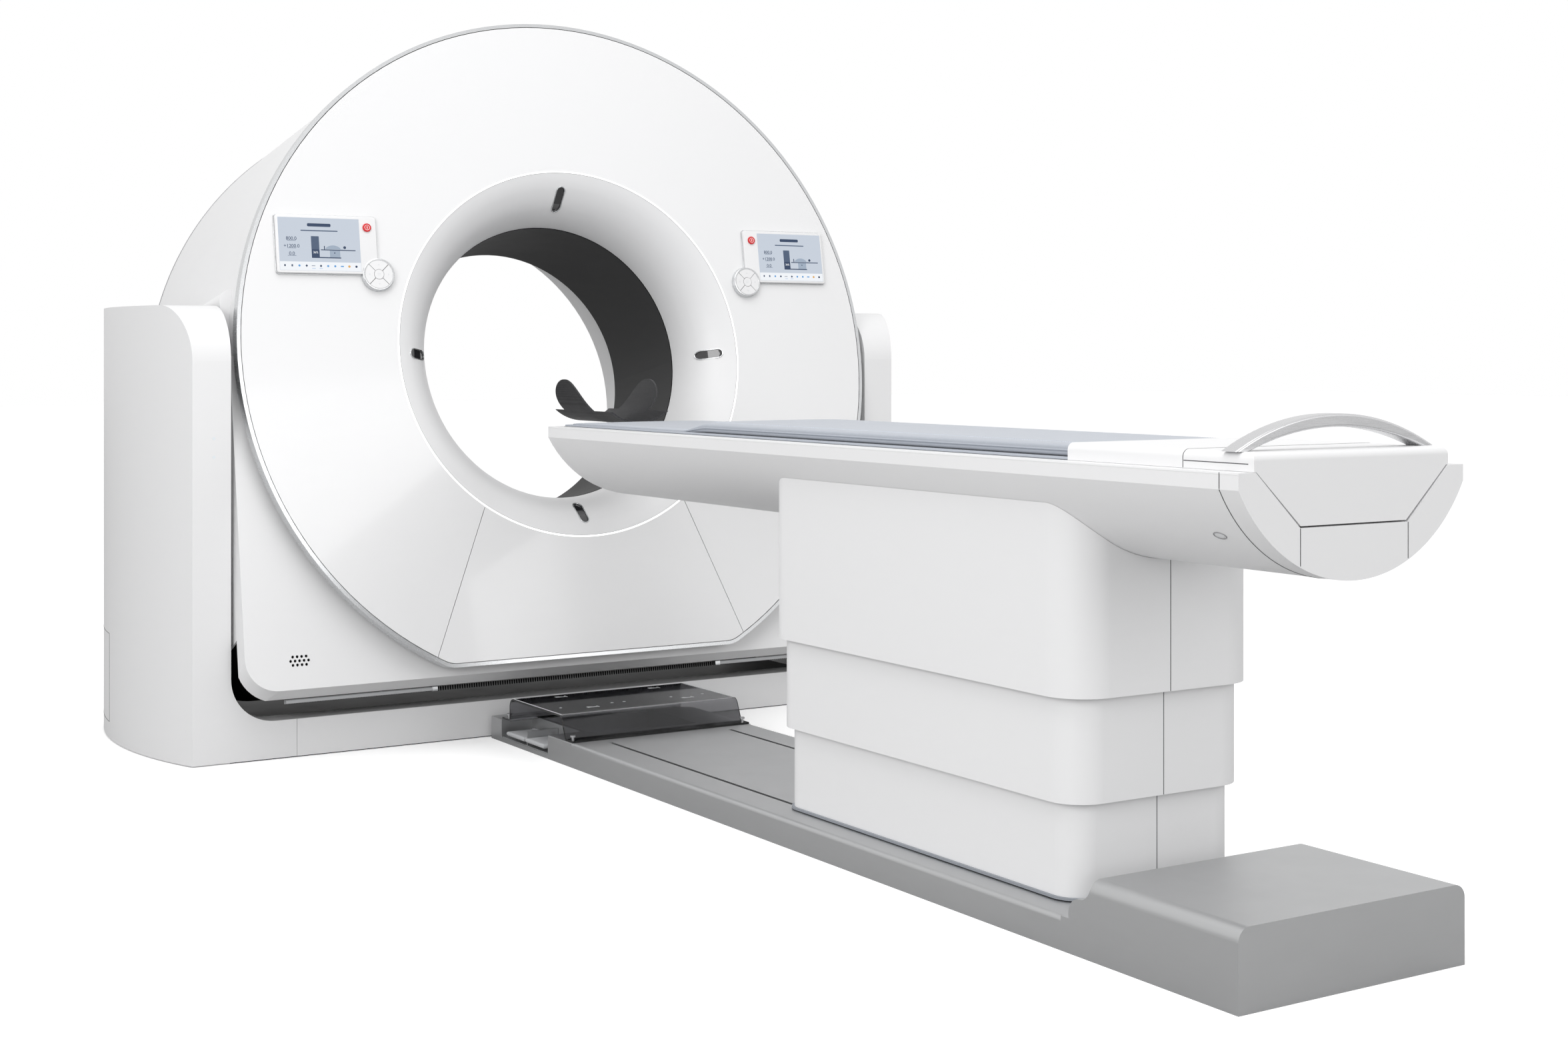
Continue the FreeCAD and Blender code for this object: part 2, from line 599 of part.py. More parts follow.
def disc_shell(body):
    """Dished disc with a flat bottom and a round hole, which both front covers are cut from."""
    def face(sketch):
        flat_disc(sketch, "disc_radius", "disc_flat", "disc_corner")
        draw_circle(sketch, "0", "0", "led_inner + led_width")

    def room(sketch):
        flat_disc(sketch, "disc_radius - cover_wall", "disc_flat - cover_wall",
                  "disc_corner - cover_wall")
        draw_circle(sketch, "0", "0", "led_inner + led_width + cover_wall")
    extrude(body, "XZ", "0", "disc_skirt", face)
    extrude(body, "XZ", "cover_wall", "disc_skirt", room, cut=True)


def service_wedge(sketch, offset):
    """The service cover's share of the disc, its sides moved out by offset."""
    low = "(disc_radius + 2)"
    draw_outline(sketch, (
        ("-" + seam_line(offset, low), "-" + low),
        (seam_line(offset, low), "-" + low),
        (seam_line(offset, "0"), "0"),
        ("-" + seam_line(offset, "0"), "0")))


def front_cover():
    """The big front disc, open below where the service cover sits."""
    body = new_body("front_cover", in_gantry)
    disc_shell(body)
    extrude(body, "XZ", "-1", "disc_skirt + 2",
            lambda sketch: service_wedge(sketch, "seam_gap / 2"), cut=True)


def service_cover():
    """Trapezoid cover under the bore, from the light ring to the disc's flat."""
    body = new_body("service_cover", in_gantry)
    disc_shell(body)

    def all_but_wedge(sketch):
        draw_box(sketch, "-disc_radius - 9", "disc_radius + 9", "-disc_radius - 9", "disc_radius + 9")
        service_wedge(sketch, "-(seam_gap / 2)")
    extrude(body, "XZ", "-1", "disc_skirt + 2", all_but_wedge, cut=True)


def trim_ring():
    """Silver edge strip round the front disc."""
    body = new_body("trim_ring", in_gantry)

    def strip(sketch):
        outer = "(trim_inner + trim_width)"
        shift = "(trim_inner - disc_radius)"
        flat_disc(sketch, outer, "(disc_flat + %s + trim_width)" % shift,
                  "(disc_corner + %s + trim_width)" % shift)
        flat_disc(sketch, "trim_inner", "(disc_flat + %s)" % shift, "(disc_corner + %s)" % shift)
    extrude(body, "XZ", "0", "trim_depth", strip)


def led_ring():
    body = new_body("led_ring", in_gantry)
    ring_prism(body, "0", "led_depth", "led_inner", "led_inner + led_width")


def funnel_profile(sketch, front, back):
    """Section of the front funnel between two depths under its surface."""
    radius_front = "(funnel_round - %s)" % front
    radius_back = "(funnel_round - %s)" % back
    draw_outline(sketch, (
        (front, "led_inner", radius_front),
        ("funnel_depth", "bore_radius + %s" % front),
        ("funnel_depth", "bore_radius + %s" % back, "-" + radius_back),
        (back, "led_inner")))


def draw_windows(sketch):
    """Four round-ended slots, above, below and beside the bore."""
    half, end = "window_width / 2", "window_length / 2 - window_width / 2"
    for turn in range(4):
        along = Vector(round(math.sin(turn * math.pi / 2)), round(math.cos(turn * math.pi / 2)), 0)

        def at(out, aside):
            x = "%d * (window_radius + %s) + %d * (%s)" % (along.x, out, along.y, aside)
            z = "%d * (window_radius + %s) - %d * (%s)" % (along.y, out, along.x, aside)
            return x, z
        draw_outline(sketch, (
            at("-(%s)" % end, half), at(end, half) + (half,),
            at(end, "-(%s)" % half), at("-(%s)" % end, "-(%s)" % half) + (half,)))


def front_funnel():
    """Curved throat from the light ring into the bore, with four slots."""
    body = new_body("front_funnel", in_gantry)
    revolve(body, "YZ", "Y", lambda sketch: funnel_profile(sketch, "0", "cover_wall"))
    extrude(body, "XZ", "-1", "funnel_depth", draw_windows, cut=True)


def laser_windows():
    """Four dark panes that fill the slots, a little under the funnel's surface."""
    body = new_body("laser_windows", in_gantry)
    revolve(body, "YZ", "Y", lambda sketch: funnel_profile(sketch, "2", "4"))

    def all_but_windows(sketch):
        draw_circle(sketch, "0", "0", "led_inner + 50")
        draw_windows(sketch)
    extrude(body, "XZ", "-1", "funnel_depth + 2", all_but_windows, cut=True)


def bore_liner():
    body = new_body("bore_liner", in_gantry)
    ring_prism(body, "funnel_depth", "liner_end - funnel_depth", "bore_radius",
               "bore_radius + liner_wall")


def upper_shroud():
    """Arched cover of the drum's upper half with a pod over each trunnion."""
    body = new_body("upper_shroud", in_gantry)
    depth = "gantry_depth - cover_wall - disc_skirt - 1"
    start = "disc_skirt + 1"
    ring_prism(body, start, depth, "trim_inner - shroud_wall", "trim_inner")
    for name, side in both_sides():
        left, right = sorted(("%d * (trim_inner - pod_reach)" % side,
                              "%d * body_half_width" % side), key=value)
        extrude(body, "XZ", "apron_front + apron_lip_depth", "gantry_depth - cover_wall"
                " - apron_front - apron_lip_depth", lambda sketch: draw_box(
                    sketch, left, right, "seam_gap / 2", "pod_top"))
    round_edges(body, "pod_round", lambda middle, way: near(middle.z, "pod_top")
                and near(abs(middle.x), "body_half_width") and abs(way.y) > 0.99)
    for name, side in both_sides():
        left, right = sorted(("%d * (trim_inner - pod_reach - pod_round)" % side,
                              "%d * (body_half_width - shroud_wall)" % side), key=value)
        extrude(body, "XZ", "apron_front + apron_lip_depth + shroud_wall",
                "gantry_depth - cover_wall - shroud_wall - apron_front - apron_lip_depth",
                lambda sketch: draw_box(sketch, left, right, "-1", "pod_top - pod_round"), cut=True)
    extrude(body, "XZ", "0", "gantry_depth", lambda sketch: draw_circle(
        sketch, "0", "0", "trim_inner - shroud_wall"), cut=True)
    extrude(body, "XZ", "0", "gantry_depth", lambda sketch: draw_box(
        sketch, "-body_half_width - 5", "body_half_width + 5", "-trim_inner - 5", "seam_gap / 2"),
        cut=True)
    trunnion_holes(body)


def trunnion_holes(body):
    extrude(body, "YZ", "-body_half_width - 5", "2 * body_half_width + 10", lambda sketch: draw_circle(
        sketch, "pivot_depth", "0", "trunnion_radius + shaft_play"), cut=True)


def apron_outline(sketch, half_width, drop, corner):
    """U-shaped outline of the lower body."""
    draw_outline(sketch, (
        ("-(%s)" % half_width, "-seam_gap / 2"),
        ("-(%s)" % half_width, "-(%s - %s)" % (drop, corner), corner),
        ("-(%s - %s)" % (half_width, corner), "-(%s)" % drop),
        ("%s - %s" % (half_width, corner), "-(%s)" % drop, corner),
        (half_width, "-(%s - %s)" % (drop, corner)),
        (half_width, "-seam_gap / 2")))


def lower_cover():
    """Lower body cover: front panel with its lip, and a plate on each side."""
    body = new_body("lower_cover", in_gantry)
    panel = sketch_on(body, "XZ", "apron_front")
    apron_outline(panel, "apron_half_width", "apron_drop", "apron_corner")
    lip = sketch_on(body, "XZ", "apron_front + apron_lip_depth")
    apron_outline(lip, "body_half_width", "apron_drop + apron_lip", "apron_corner + apron_lip")
    loft = body.newObject("PartDesign::AdditiveLoft", "lower_cover_loft")
    loft.Profile = panel
    loft.Sections = [lip]
    loft.Ruled = True
    extrude(body, "XZ", "apron_front + cover_wall", "apron_lip_depth", lambda sketch: apron_outline(
        sketch, "apron_half_width - cover_wall", "apron_drop - cover_wall",
        "apron_corner - cover_wall"), cut=True)
    extrude(body, "XZ", "apron_front - 1", "cover_wall + 2", lambda sketch: draw_circle(
        sketch, "0", "0", "led_inner + 80"), cut=True)
    rows = ((-1, 4), (0, 5), (1, 4))

    def holes(sketch):
        for row, count in rows:
            for number in range(count):
                step = "(%s) * grille_pitch" % (number - (count - 1) / 2)
                draw_circle(sketch, "-grille_x + %s" % step, "-grille_drop + %d * grille_row" % row,
                            "grille_hole")
    extrude(body, "XZ", "apron_front - 1", "cover_wall + 2", holes, cut=True)
    side_radius = "(belly_radius - belly_corner + 8)"
    front = "(apron_front + apron_lip_depth)"
    rear = "(gantry_depth - cover_wall)"
    for name, side in both_sides():
        start = "body_half_width - shroud_wall" if side > 0 else "-body_half_width"
        extrude(body, "YZ", start, "shroud_wall", lambda sketch: draw_outline(sketch, (
            (front, "-seam_gap / 2"),
            (front, "-sqrt(%s ^ 2 - (pivot_depth - %s) ^ 2)" % (side_radius, front), side_radius),
            (rear, "-sqrt(%s ^ 2 - (%s - pivot_depth) ^ 2)" % (side_radius, rear)),
            (rear, "-seam_gap / 2"))))
    trunnion_holes(body)


def belly_cover():
    """Black underside, turned about the tilt axis so that it clears the crossbar."""
    body = new_body("belly_cover", at_pivot)
    half = "(body_half_width - shroud_wall - belly_play)"
    inner = "(belly_radius - cover_wall)"

    def section(sketch):
        draw_outline(sketch, (
            ("-" + half, "-(belly_radius - belly_corner)", "belly_corner"),
            ("-(%s - belly_corner)" % half, "-belly_radius"),
            ("%s - belly_corner" % half, "-belly_radius", "belly_corner"),
            (half, "-(belly_radius - belly_corner)"),
            ("%s - cover_wall" % half, "-(belly_radius - belly_corner)", "-(belly_corner - cover_wall)"),
            ("%s - belly_corner" % half, "-" + inner),
            ("-(%s - belly_corner)" % half, "-" + inner, "-(belly_corner - cover_wall)"),
            ("-(%s - cover_wall)" % half, "-(belly_radius - belly_corner)")))
    swing = "2 * asin((gantry_depth - pivot_depth) / (belly_radius - belly_corner)) / 1 deg"
    revolve(body, "XZ", "X", section, angle=swing, both=True)
    front = "apron_front + apron_lip_depth + seam_gap - pivot_depth"
    extrude(body, "XZ", "%s - belly_radius" % front, "belly_radius", lambda sketch: draw_box(
        sketch, "-body_half_width", "body_half_width", "-belly_radius - 5", "0"), cut=True)
    extrude(body, "XZ", "gantry_depth - cover_wall - 1 - pivot_depth", "belly_radius",
            lambda sketch: draw_box(sketch, "-body_half_width", "body_half_width",
                                    "-belly_radius - 5", "0"), cut=True)


def rear_cover():
    """Rear panel with the rear funnel moulded on."""
    body = new_body("rear_cover", in_gantry)
    start = "gantry_depth - cover_wall"
    radius = "(trim_inner - shroud_wall - seam_gap)"
    extrude(body, "XZ", start, "cover_wall", lambda sketch: draw_outline(sketch, (
        (radius, "0", radius), ("-" + radius, "0"))))
    low = "sqrt((belly_radius - seam_gap) ^ 2 - (gantry_depth - pivot_depth) ^ 2)"
    mid = "sqrt((belly_radius - belly_corner) ^ 2 - (gantry_depth - pivot_depth) ^ 2)"
    half = "(body_half_width - shroud_wall - seam_gap)"
    extrude(body, "XZ", start, "cover_wall", lambda sketch: draw_outline(sketch, (
        ("-" + half, "0"),
        ("-" + half, "-" + mid, "2 * belly_corner"),
        ("-(%s - belly_corner)" % half, "-" + low),
        ("%s - belly_corner" % half, "-" + low, "2 * belly_corner"),
        (half, "-" + mid),
        (half, "0"))))
    revolve(body, "YZ", "Y", lambda sketch: draw_outline(sketch, (
        ("liner_end", "bore_radius"), ("gantry_depth", "rear_flare"),
        ("gantry_depth", "rear_flare + cover_wall"), ("liner_end", "bore_radius + cover_wall"))))
    extrude(body, "XZ", start, "cover_wall", lambda sketch: draw_circle(
        sketch, "0", "0", "rear_flare"), cut=True)


# ---------------------------------------------------------------- control panels

def side_box(sketch, side, near_x, far_x, low, high):
    left, right = sorted(("%d * (%s)" % (side, near_x), "%d * (%s)" % (side, far_x)), key=value)
    draw_box(sketch, left, right, low, high)


KEY_DEPTH = "(key_travel + well_floor)"


def control_panels():
    """Housings of the two control panels, with room for screens, stop buttons and keys."""
    body = new_body("control_panels", in_gantry)
    for name, side in both_sides():
        extrude(body, "XZ", "-panel_thick", "panel_thick", lambda sketch: side_box(
            sketch, side, "panel_near", "panel_far", "panel_low", "panel_high"))
        extrude(body, "XZ", "-panel_thick - pad_stand", "panel_thick + pad_stand",
                lambda sketch: draw_circle(sketch, "%d * panel_near" % side, "panel_low", "pad_radius"))
        extrude(body, "XZ", "-panel_thick", "screen_thick", lambda sketch: side_box(
            sketch, side, "screen_near", "screen_far", "screen_low", "screen_high"), cut=True)
        extrude(body, "XZ", "-panel_thick", "stop_travel + stop_well", lambda sketch: draw_circle(
            sketch, "%d * stop_x" % side, "stop_up", "stop_radius + stop_play"), cut=True)
        extrude(body, "XZ", "-panel_thick - pad_stand", KEY_DEPTH, lambda sketch: draw_circle(
            sketch, "%d * panel_near" % side, "panel_low", "pad_ring"), cut=True)


def screens():
    body = new_body("screens", in_gantry)
    for name, side in both_sides():
        extrude(body, "XZ", "-panel_thick", "screen_thick", lambda sketch: side_box(
            sketch, side, "screen_near", "screen_far", "screen_low", "screen_high"))


def stop_button(name, side):
    body = new_body(name + "_stop_button", in_gantry)
    extrude(body, "XZ", "-panel_thick - stop_stand", "stop_stand + stop_well - stop_play",
            lambda sketch: draw_circle(sketch, "%d * stop_x" % side, "stop_up", "stop_radius"))
    round_edges(body, "stop_round", lambda middle, way: near(middle.y, "-panel_thick - stop_stand")
                and middle.distanceToPoint(Vector(value("%d * stop_x" % side), middle.y,
                                                  value("stop_up"))) > value("stop_radius") / 2)


def sector_key(label, side, turn):
    """One of four keys round the pad's centre: a quarter of a ring, less its gaps."""
    body = new_body(label, in_gantry)
    centre_x, centre_z = "%d * panel_near" % side, "panel_low"
    inner, outer = "key_inner", "(pad_ring - key_play)"
    half_slot = "(key_slot / 2)"

    def at(radius, mirror):
        """Corner of the sector on the diagonal that is mirror of its middle line."""
        along = "(sqrt(%s ^ 2 - %s ^ 2))" % (radius, half_slot)
        angle = "(%d * 1 deg)" % (90 * turn + 45 * mirror)
        x = "%s + %s * sin(%s) - %d * %s * cos(%s)" % (centre_x, along, angle, mirror, half_slot, angle)
        z = "%s + %s * cos(%s) + %d * %s * sin(%s)" % (centre_z, along, angle, mirror, half_slot, angle)
        return x, z
    extrude(body, "XZ", "-panel_thick - pad_stand", "well_floor - key_clear",
            lambda sketch: draw_outline(sketch, (
                at(inner, 1), at(outer, 1) + (outer,), at(outer, -1), at(inner, -1) + ("-" + inner,))))


def centre_key(name, side):
    body = new_body(name + "_centre_key", in_gantry)
    extrude(body, "XZ", "-panel_thick - pad_stand - centre_stand", "well_floor + centre_stand - key_clear",
            lambda sketch: draw_circle(sketch, "%d * panel_near" % side, "panel_low", "centre_key"))


# ---------------------------------------------------------------- inside the gantry

ARM_OUTER = "(body_half_width - shroud_wall)"


def tilt_frame():
    """Ring plate behind the rotor, two arms forward to the tilt axis, and the trunnions."""
    body = new_body("tilt_frame", in_gantry)
    ring_prism(body, "plate_front", "plate_thick", "plate_bore", "plate_radius")
    for name, side in both_sides():
        extrude(body, "XZ", "arm_front", "plate_front + plate_thick - arm_front",
                lambda sketch: side_box(sketch, side, "arm_inner", ARM_OUTER,
                                        "-arm_half_height", "arm_half_height"))
        extrude(body, "XZ", "plate_front", "plate_thick",
                lambda sketch: side_box(sketch, side, "plate_radius - arm_lap", ARM_OUTER,
                                        "-arm_half_height", "arm_half_height"))
        reach = "pillar_inner + post_inset + bearing_width"
        start = "arm_inner + shaft_hold" if side > 0 else "-(%s)" % reach
        extrude(body, "YZ", start, "%s - arm_inner - shaft_hold" % reach,
                lambda sketch: draw_circle(sketch, "pivot_depth", "0", "trunnion_radius"))


def bearing_outer_race():
    body = new_body("bearing_outer_race", in_gantry)
    ring_prism(body, "plate_front - race_depth", "race_depth", "race_radius + running_gap",
               "race_outer")


ROTOR_FRONT = "(plate_front - race_depth - rotor_gap - rotor_thick)"


def rotor_drum():
    """Rotor plate with the inner race of the main bearing."""
    body = new_body("rotor_drum", in_gantry)
    ring_prism(body, ROTOR_FRONT, "rotor_thick", "rotor_bore", "rotor_radius")
    ring_prism(body, "%s + rotor_thick" % ROTOR_FRONT, "race_depth + rotor_gap - race_inset", "rotor_bore",
               "race_radius")


def xray_tube():
    """Tube housing at the top of the rotor, with its collimator below."""
    body = new_body("xray_tube", in_gantry)
    start = "%s - tube_length" % ROTOR_FRONT
    extrude(body, "XZ", start, "tube_length", lambda sketch: draw_circle(
        sketch, "0", "tube_orbit", "tube_radius"))
    extrude(body, "XZ", "pivot_depth - collimator_depth / 2", "collimator_depth",
            lambda sketch: draw_box(sketch, "-collimator_half_width", "collimator_half_width",
                                    "tube_orbit - tube_radius - collimator_drop", "tube_orbit"))


def detector_arc():
    body = new_body("detector_arc", in_gantry)

    def arc(sketch):
        def drop(radius, half):
            return "-sqrt(%s ^ 2 - %s ^ 2)" % (radius, half)
        inner_half = "(detector_half_width * detector_inner / detector_outer)"
        draw_outline(sketch, (
            ("-detector_half_width", drop("detector_outer", "detector_half_width"), "detector_outer"),
            ("detector_half_width", drop("detector_outer", "detector_half_width")),
            (inner_half, drop("detector_inner", inner_half), "-detector_inner"),
            ("-" + inner_half, drop("detector_inner", inner_half))))
    extrude(body, "XZ", "%s - detector_depth" % ROTOR_FRONT, "detector_depth", arc)


def high_voltage_tanks():
    """The tube's two high voltage tanks, one on each side of the rotor."""
    body = new_body("high_voltage_tanks", in_gantry)
    for name, side in both_sides():
        extrude(body, "XZ", "%s - tank_depth" % ROTOR_FRONT, "tank_depth",
                lambda sketch: side_box(sketch, side, "tank_x - tank_width / 2",
                                        "tank_x + tank_width / 2", "-tank_height / 2",
                                        "tank_height / 2"))


def slip_ring():
    body = new_body("slip_ring", in_gantry)
    ring_prism(body, "%s + rotor_thick" % ROTOR_FRONT, "slip_ring_depth",
               "rotor_bore - slip_ring_wall", "rotor_bore")


# ---------------------------------------------------------------- rail, hood and pedals

def base_rail():
    """Hollow rail on the floor, open below, with two long slots in its top."""
    body = new_body("base_rail")
    length = "rail_front - rail_end"
    extrude(body, "XZ", "rail_end", length, lambda sketch: draw_box(
        sketch, "-rail_half_width", "rail_half_width", "0", "rail_height"))
    round_edges(body, "rail_edge", lambda middle, way: near(middle.z, "rail_height")
                and abs(way.y) > 0.99)
    extrude(body, "XZ", "rail_end", length, lambda sketch: draw_box(
        sketch, "-(rail_half_width - rail_wall)", "rail_half_width - rail_wall",
        "rail_wall", "rail_height - rail_wall"), cut=True)

    def slots(sketch):
        for name, side in both_sides():
            side_box(sketch, side, "slot_x - slot_width / 2", "slot_x + slot_width / 2",
                     "rail_end + rail_wall", "slot_front")
    extrude(body, "XY", "rail_height - rail_wall - 1", "rail_wall + 2", slots, cut=True)


def carriage_guides():
    """The two linear guides under the rail's slots."""
    body = new_body("carriage_guides")
    for name, side in both_sides():
        extrude(body, "XZ", "rail_end", "slot_front - rail_end", lambda sketch: side_box(
            sketch, side, "slot_x - guide_width / 2", "slot_x + guide_width / 2",
            "rail_wall", "rail_wall + guide_height"))


def rail_front_block():
    """End of the rail nearest the gantry, with the pedal recess and the cable tray."""
    body = new_body("rail_front_block")
    extrude(body, "XZ", "rail_front", "block_front - rail_front", lambda sketch: draw_box(
        sketch, "-rail_half_width", "rail_half_width", "0", "rail_height"))
    round_edges(body, "rail_edge / 3", lambda middle, way: near(middle.z, "rail_height"))
    extrude(body, "XY", "recess_floor", "rail_height", lambda sketch: draw_box(
        sketch, "-rail_half_width - 5", "recess_inner", "recess_rear", "recess_front"), cut=True)
    extrude(body, "XY", "recess_floor", "rail_height", lambda sketch: draw_box(
        sketch, "recess_inner + tray_edge", "tray_half_width", "hood_wall_rear + tray_inset",
        "hood_wall_front - tray_inset"),
        cut=True)


def rail_end_box():
    """Raised box at the far end of the rail, with an S-shaped ramp, open below."""
    body = new_body("rail_end_box")
    half_rise = "((end_box_height - rail_height) / 2)"
    run = "((end_ramp_front - end_ramp_rear) / 2)"
    bend = "((%s ^ 2 + %s ^ 2) / (2 * %s))" % (half_rise, run, half_rise)

    def ramp(sketch, inset):
        draw_outline(sketch, (
            ("rail_end", "0"),
            ("rail_end", "rail_height"),
            ("end_ramp_front", "rail_height", bend),
            ("end_ramp_front - %s" % run, "rail_height + %s" % half_rise, "-" + bend),
            ("end_ramp_rear", "end_box_height"),
            ("end_box_rear", "end_box_height"),
            ("end_box_rear", "0")))
    extrude(body, "YZ", "-rail_half_width", "2 * rail_half_width", lambda sketch: ramp(sketch, "0"))
    round_edges(body, "end_box_round", lambda middle, way: near(middle.z, "end_box_height")
                and abs(way.y) > 0.99)
    extrude(body, "XY", "rail_wall", "end_box_height - 2 * rail_wall", lambda sketch: draw_box(
        sketch, "-(rail_half_width - end_box_round)", "rail_half_width - end_box_round",
        "end_box_rear + rail_wall", "end_ramp_rear - rail_wall"), cut=True)


def smoked_hood():
    """Bent sheet: flange, wall, flat top, slanted wall, flange."""
    body = new_body("smoked_hood")
    low = "rail_height"
    sheet_top = "rail_height + hood_wall"
    extrude(body, "YZ", "-hood_half_width", "2 * hood_half_width", lambda sketch: draw_outline(sketch, (
        ("hood_front", low), ("hood_front", sheet_top),
        ("hood_wall_front", sheet_top), ("hood_wall_front", "hood_top"),
        ("hood_wall_rear", "hood_top"), ("hood_foot_rear", sheet_top),
        ("hood_rear", sheet_top), ("hood_rear", low),
        ("hood_foot_rear + hood_wall", low),
        ("hood_wall_rear + hood_wall", "hood_top - hood_wall"),
        ("hood_wall_front - hood_wall", "hood_top - hood_wall"),
        ("hood_wall_front - hood_wall", low))))
    round_edges(body, "hood_bend", lambda middle, way: near(middle.z, "hood_top") and abs(way.x) > 0.99)
    round_edges(body, "hood_bend - hood_wall",
                lambda middle, way: near(middle.z, "hood_top - hood_wall") and abs(way.x) > 0.99)


def hood_thumbscrews():
    """Four knobs on stems that hold the hood's flanges down."""
    body = new_body("hood_thumbscrews")
    places = [("%d * screw_x" % side, "(%s + %s) / 2" % pair) for name, side in both_sides()
              for pair in (("hood_front", "hood_wall_front"), ("hood_rear", "hood_foot_rear"))]

    def circles(radius):
        def draw(sketch):
            for across, along in places:
                draw_circle(sketch, across, along, radius)
        return draw
    extrude(body, "XY", "rail_height + hood_wall", "screw_neck", circles("screw_radius / 2"))
    extrude(body, "XY", "rail_height + hood_wall + screw_head_low", "screw_head",
            circles("screw_radius"))


def pedal_spans():
    """The two pedals lie on either side of the divider."""
    gap = "(divider_thick / 2 + pedal_play)"
    return (("front", "divider_y + %s" % gap, "divider_y + %s + pedal_length" % gap),
            ("rear", "divider_y - %s - pedal_length" % gap, "divider_y - %s" % gap))


def pedal_bracket():
    """Floor plate in the recess with the divider, the ears and the hinge pins."""
    body = new_body("pedal_bracket")
    left, right = "-rail_half_width + bracket_play", "recess_inner - 1"
    extrude(body, "XY", "recess_floor", "bracket_thick", lambda sketch: draw_box(
        sketch, left, right, "recess_rear + bracket_play", "recess_front - bracket_play"))
    extrude(body, "XY", "recess_floor", "rail_height - recess_floor - divider_drop",
            lambda sketch: draw_box(sketch, left, right, "divider_y - divider_thick / 2",
                                    "divider_y + divider_thick / 2"))
    pin_rear = "divider_y - divider_thick / 2 - pedal_length - 2 * pedal_play"
    pin_front = "divider_y + divider_thick / 2 + pedal_length + 2 * pedal_play"
    for start in ("%s - ear_thick" % pin_rear, pin_front):
        extrude(body, "XZ", start, "ear_thick", lambda sketch: draw_box(
            sketch, "pedal_pivot_x - ear_half_width", "pedal_pivot_x + ear_half_width",
            "recess_floor", "pedal_pivot_z + ear_half_width"))
    extrude(body, "XZ", pin_rear, "(%s) - (%s)" % (pin_front, pin_rear), lambda sketch: draw_circle(
        sketch, "pedal_pivot_x", "pedal_pivot_z", "pedal_pin"))


def pedal(name, start, end):
    """Foot pedal: a rounded plate on a hub that turns on the hinge pin."""
    body = new_body(name + "_pedal")
    length = "(%s) - (%s)" % (end, start)
    extrude(body, "XZ", start, length, lambda sketch: draw_box(
        sketch, "pedal_pivot_x - pedal_reach", "pedal_pivot_x", "pedal_pivot_z - pedal_thick / 2",
        "pedal_pivot_z + pedal_thick / 2"))
    round_edges(body, "pedal_thick * 0.45", lambda middle, way: middle.x < value(
        "pedal_pivot_x - pedal_hub") and abs(way.z) < 0.5)
    extrude(body, "XZ", start, length, lambda sketch: draw_circle(
        sketch, "pedal_pivot_x", "pedal_pivot_z", "pedal_hub"))
    extrude(body, "XZ", "%s - 1" % start, "%s + 2" % length, lambda sketch: draw_circle(
        sketch, "pedal_pivot_x", "pedal_pivot_z", "pedal_pin + running_gap"), cut=True)


# ---------------------------------------------------------------- pedestal

def stage_outline(sketch, stage, inset="0"):
    """Rounded rectangle of one telescoping cover; stage 0 is the outermost."""
    half = "(column_half_width - %d * stage_step - %s)" % (stage, inset)
    near_y = "(column_front - %d * stage_step_y - %s)" % (stage, inset)
    far_y = "(column_rear + %d * stage_step_y + %s)" % (stage, inset)
    corner = "(column_corner - %d * stage_step - %s)" % (stage, inset)
    draw_outline(sketch, (
        ("-(%s - %s)" % (half, corner), far_y),
        ("%s - %s" % (half, corner), far_y, corner),
        (half, "%s + %s" % (far_y, corner)),
        (half, "%s - %s" % (near_y, corner), corner),
        ("%s - %s" % (half, corner), near_y),
        ("-(%s - %s)" % (half, corner), near_y, corner),
        ("-" + half, "%s - %s" % (near_y, corner)),
        ("-" + half, "%s + %s" % (far_y, corner), corner)))


def stage_cover(label, stage, bottom, top):
    """One telescoping cover, open above and below."""
    body = new_body(label)

    def wall(sketch):
        stage_outline(sketch, stage)
        stage_outline(sketch, stage, "cover_wall")
    extrude(body, "XY", bottom, "%s - %s" % (top, bottom), wall)
    return body


TUB_RADIUS = "((table_half_width ^ 2 + (lip_bottom - tub_bottom) ^ 2) / (2 * (lip_bottom - tub_bottom)))"


def pedestal_upper_cover():
    """Outermost cover, its top cut to the round underside of the tub."""
    body = stage_cover("pedestal_upper_cover", 0, "upper_bottom", "lip_bottom")
    extrude(body, "XZ", "column_rear - 5", "column_front - column_rear + 10", lambda sketch: draw_circle(
        sketch, "0", "tub_bottom + %s" % TUB_RADIUS, "%s + 0.5" % TUB_RADIUS), cut=True)


CARRIAGE_TOP = "(rail_height + carriage_gap + carriage_thick)"
MIDDLE_Y = "((column_front + column_rear) / 2)"


def ram_tube(body, step, bottom, top):
    """Square tube of the lift column; each step is a smaller tube."""
    def wall(sketch):
        for inset in ("0", "ram_wall"):
            half_x = "(ram_half_width - %d * (ram_wall + ram_play) - %s)" % (step, inset)
            half_y = "(ram_half_depth - %d * (ram_wall + ram_play) - %s)" % (step, inset)
            draw_box(sketch, "-" + half_x, half_x, "%s - %s" % (MIDDLE_Y, half_y),
                     "%s + %s" % (MIDDLE_Y, half_y))
    extrude(body, "XY", bottom, "%s - (%s)" % (top, bottom), wall)


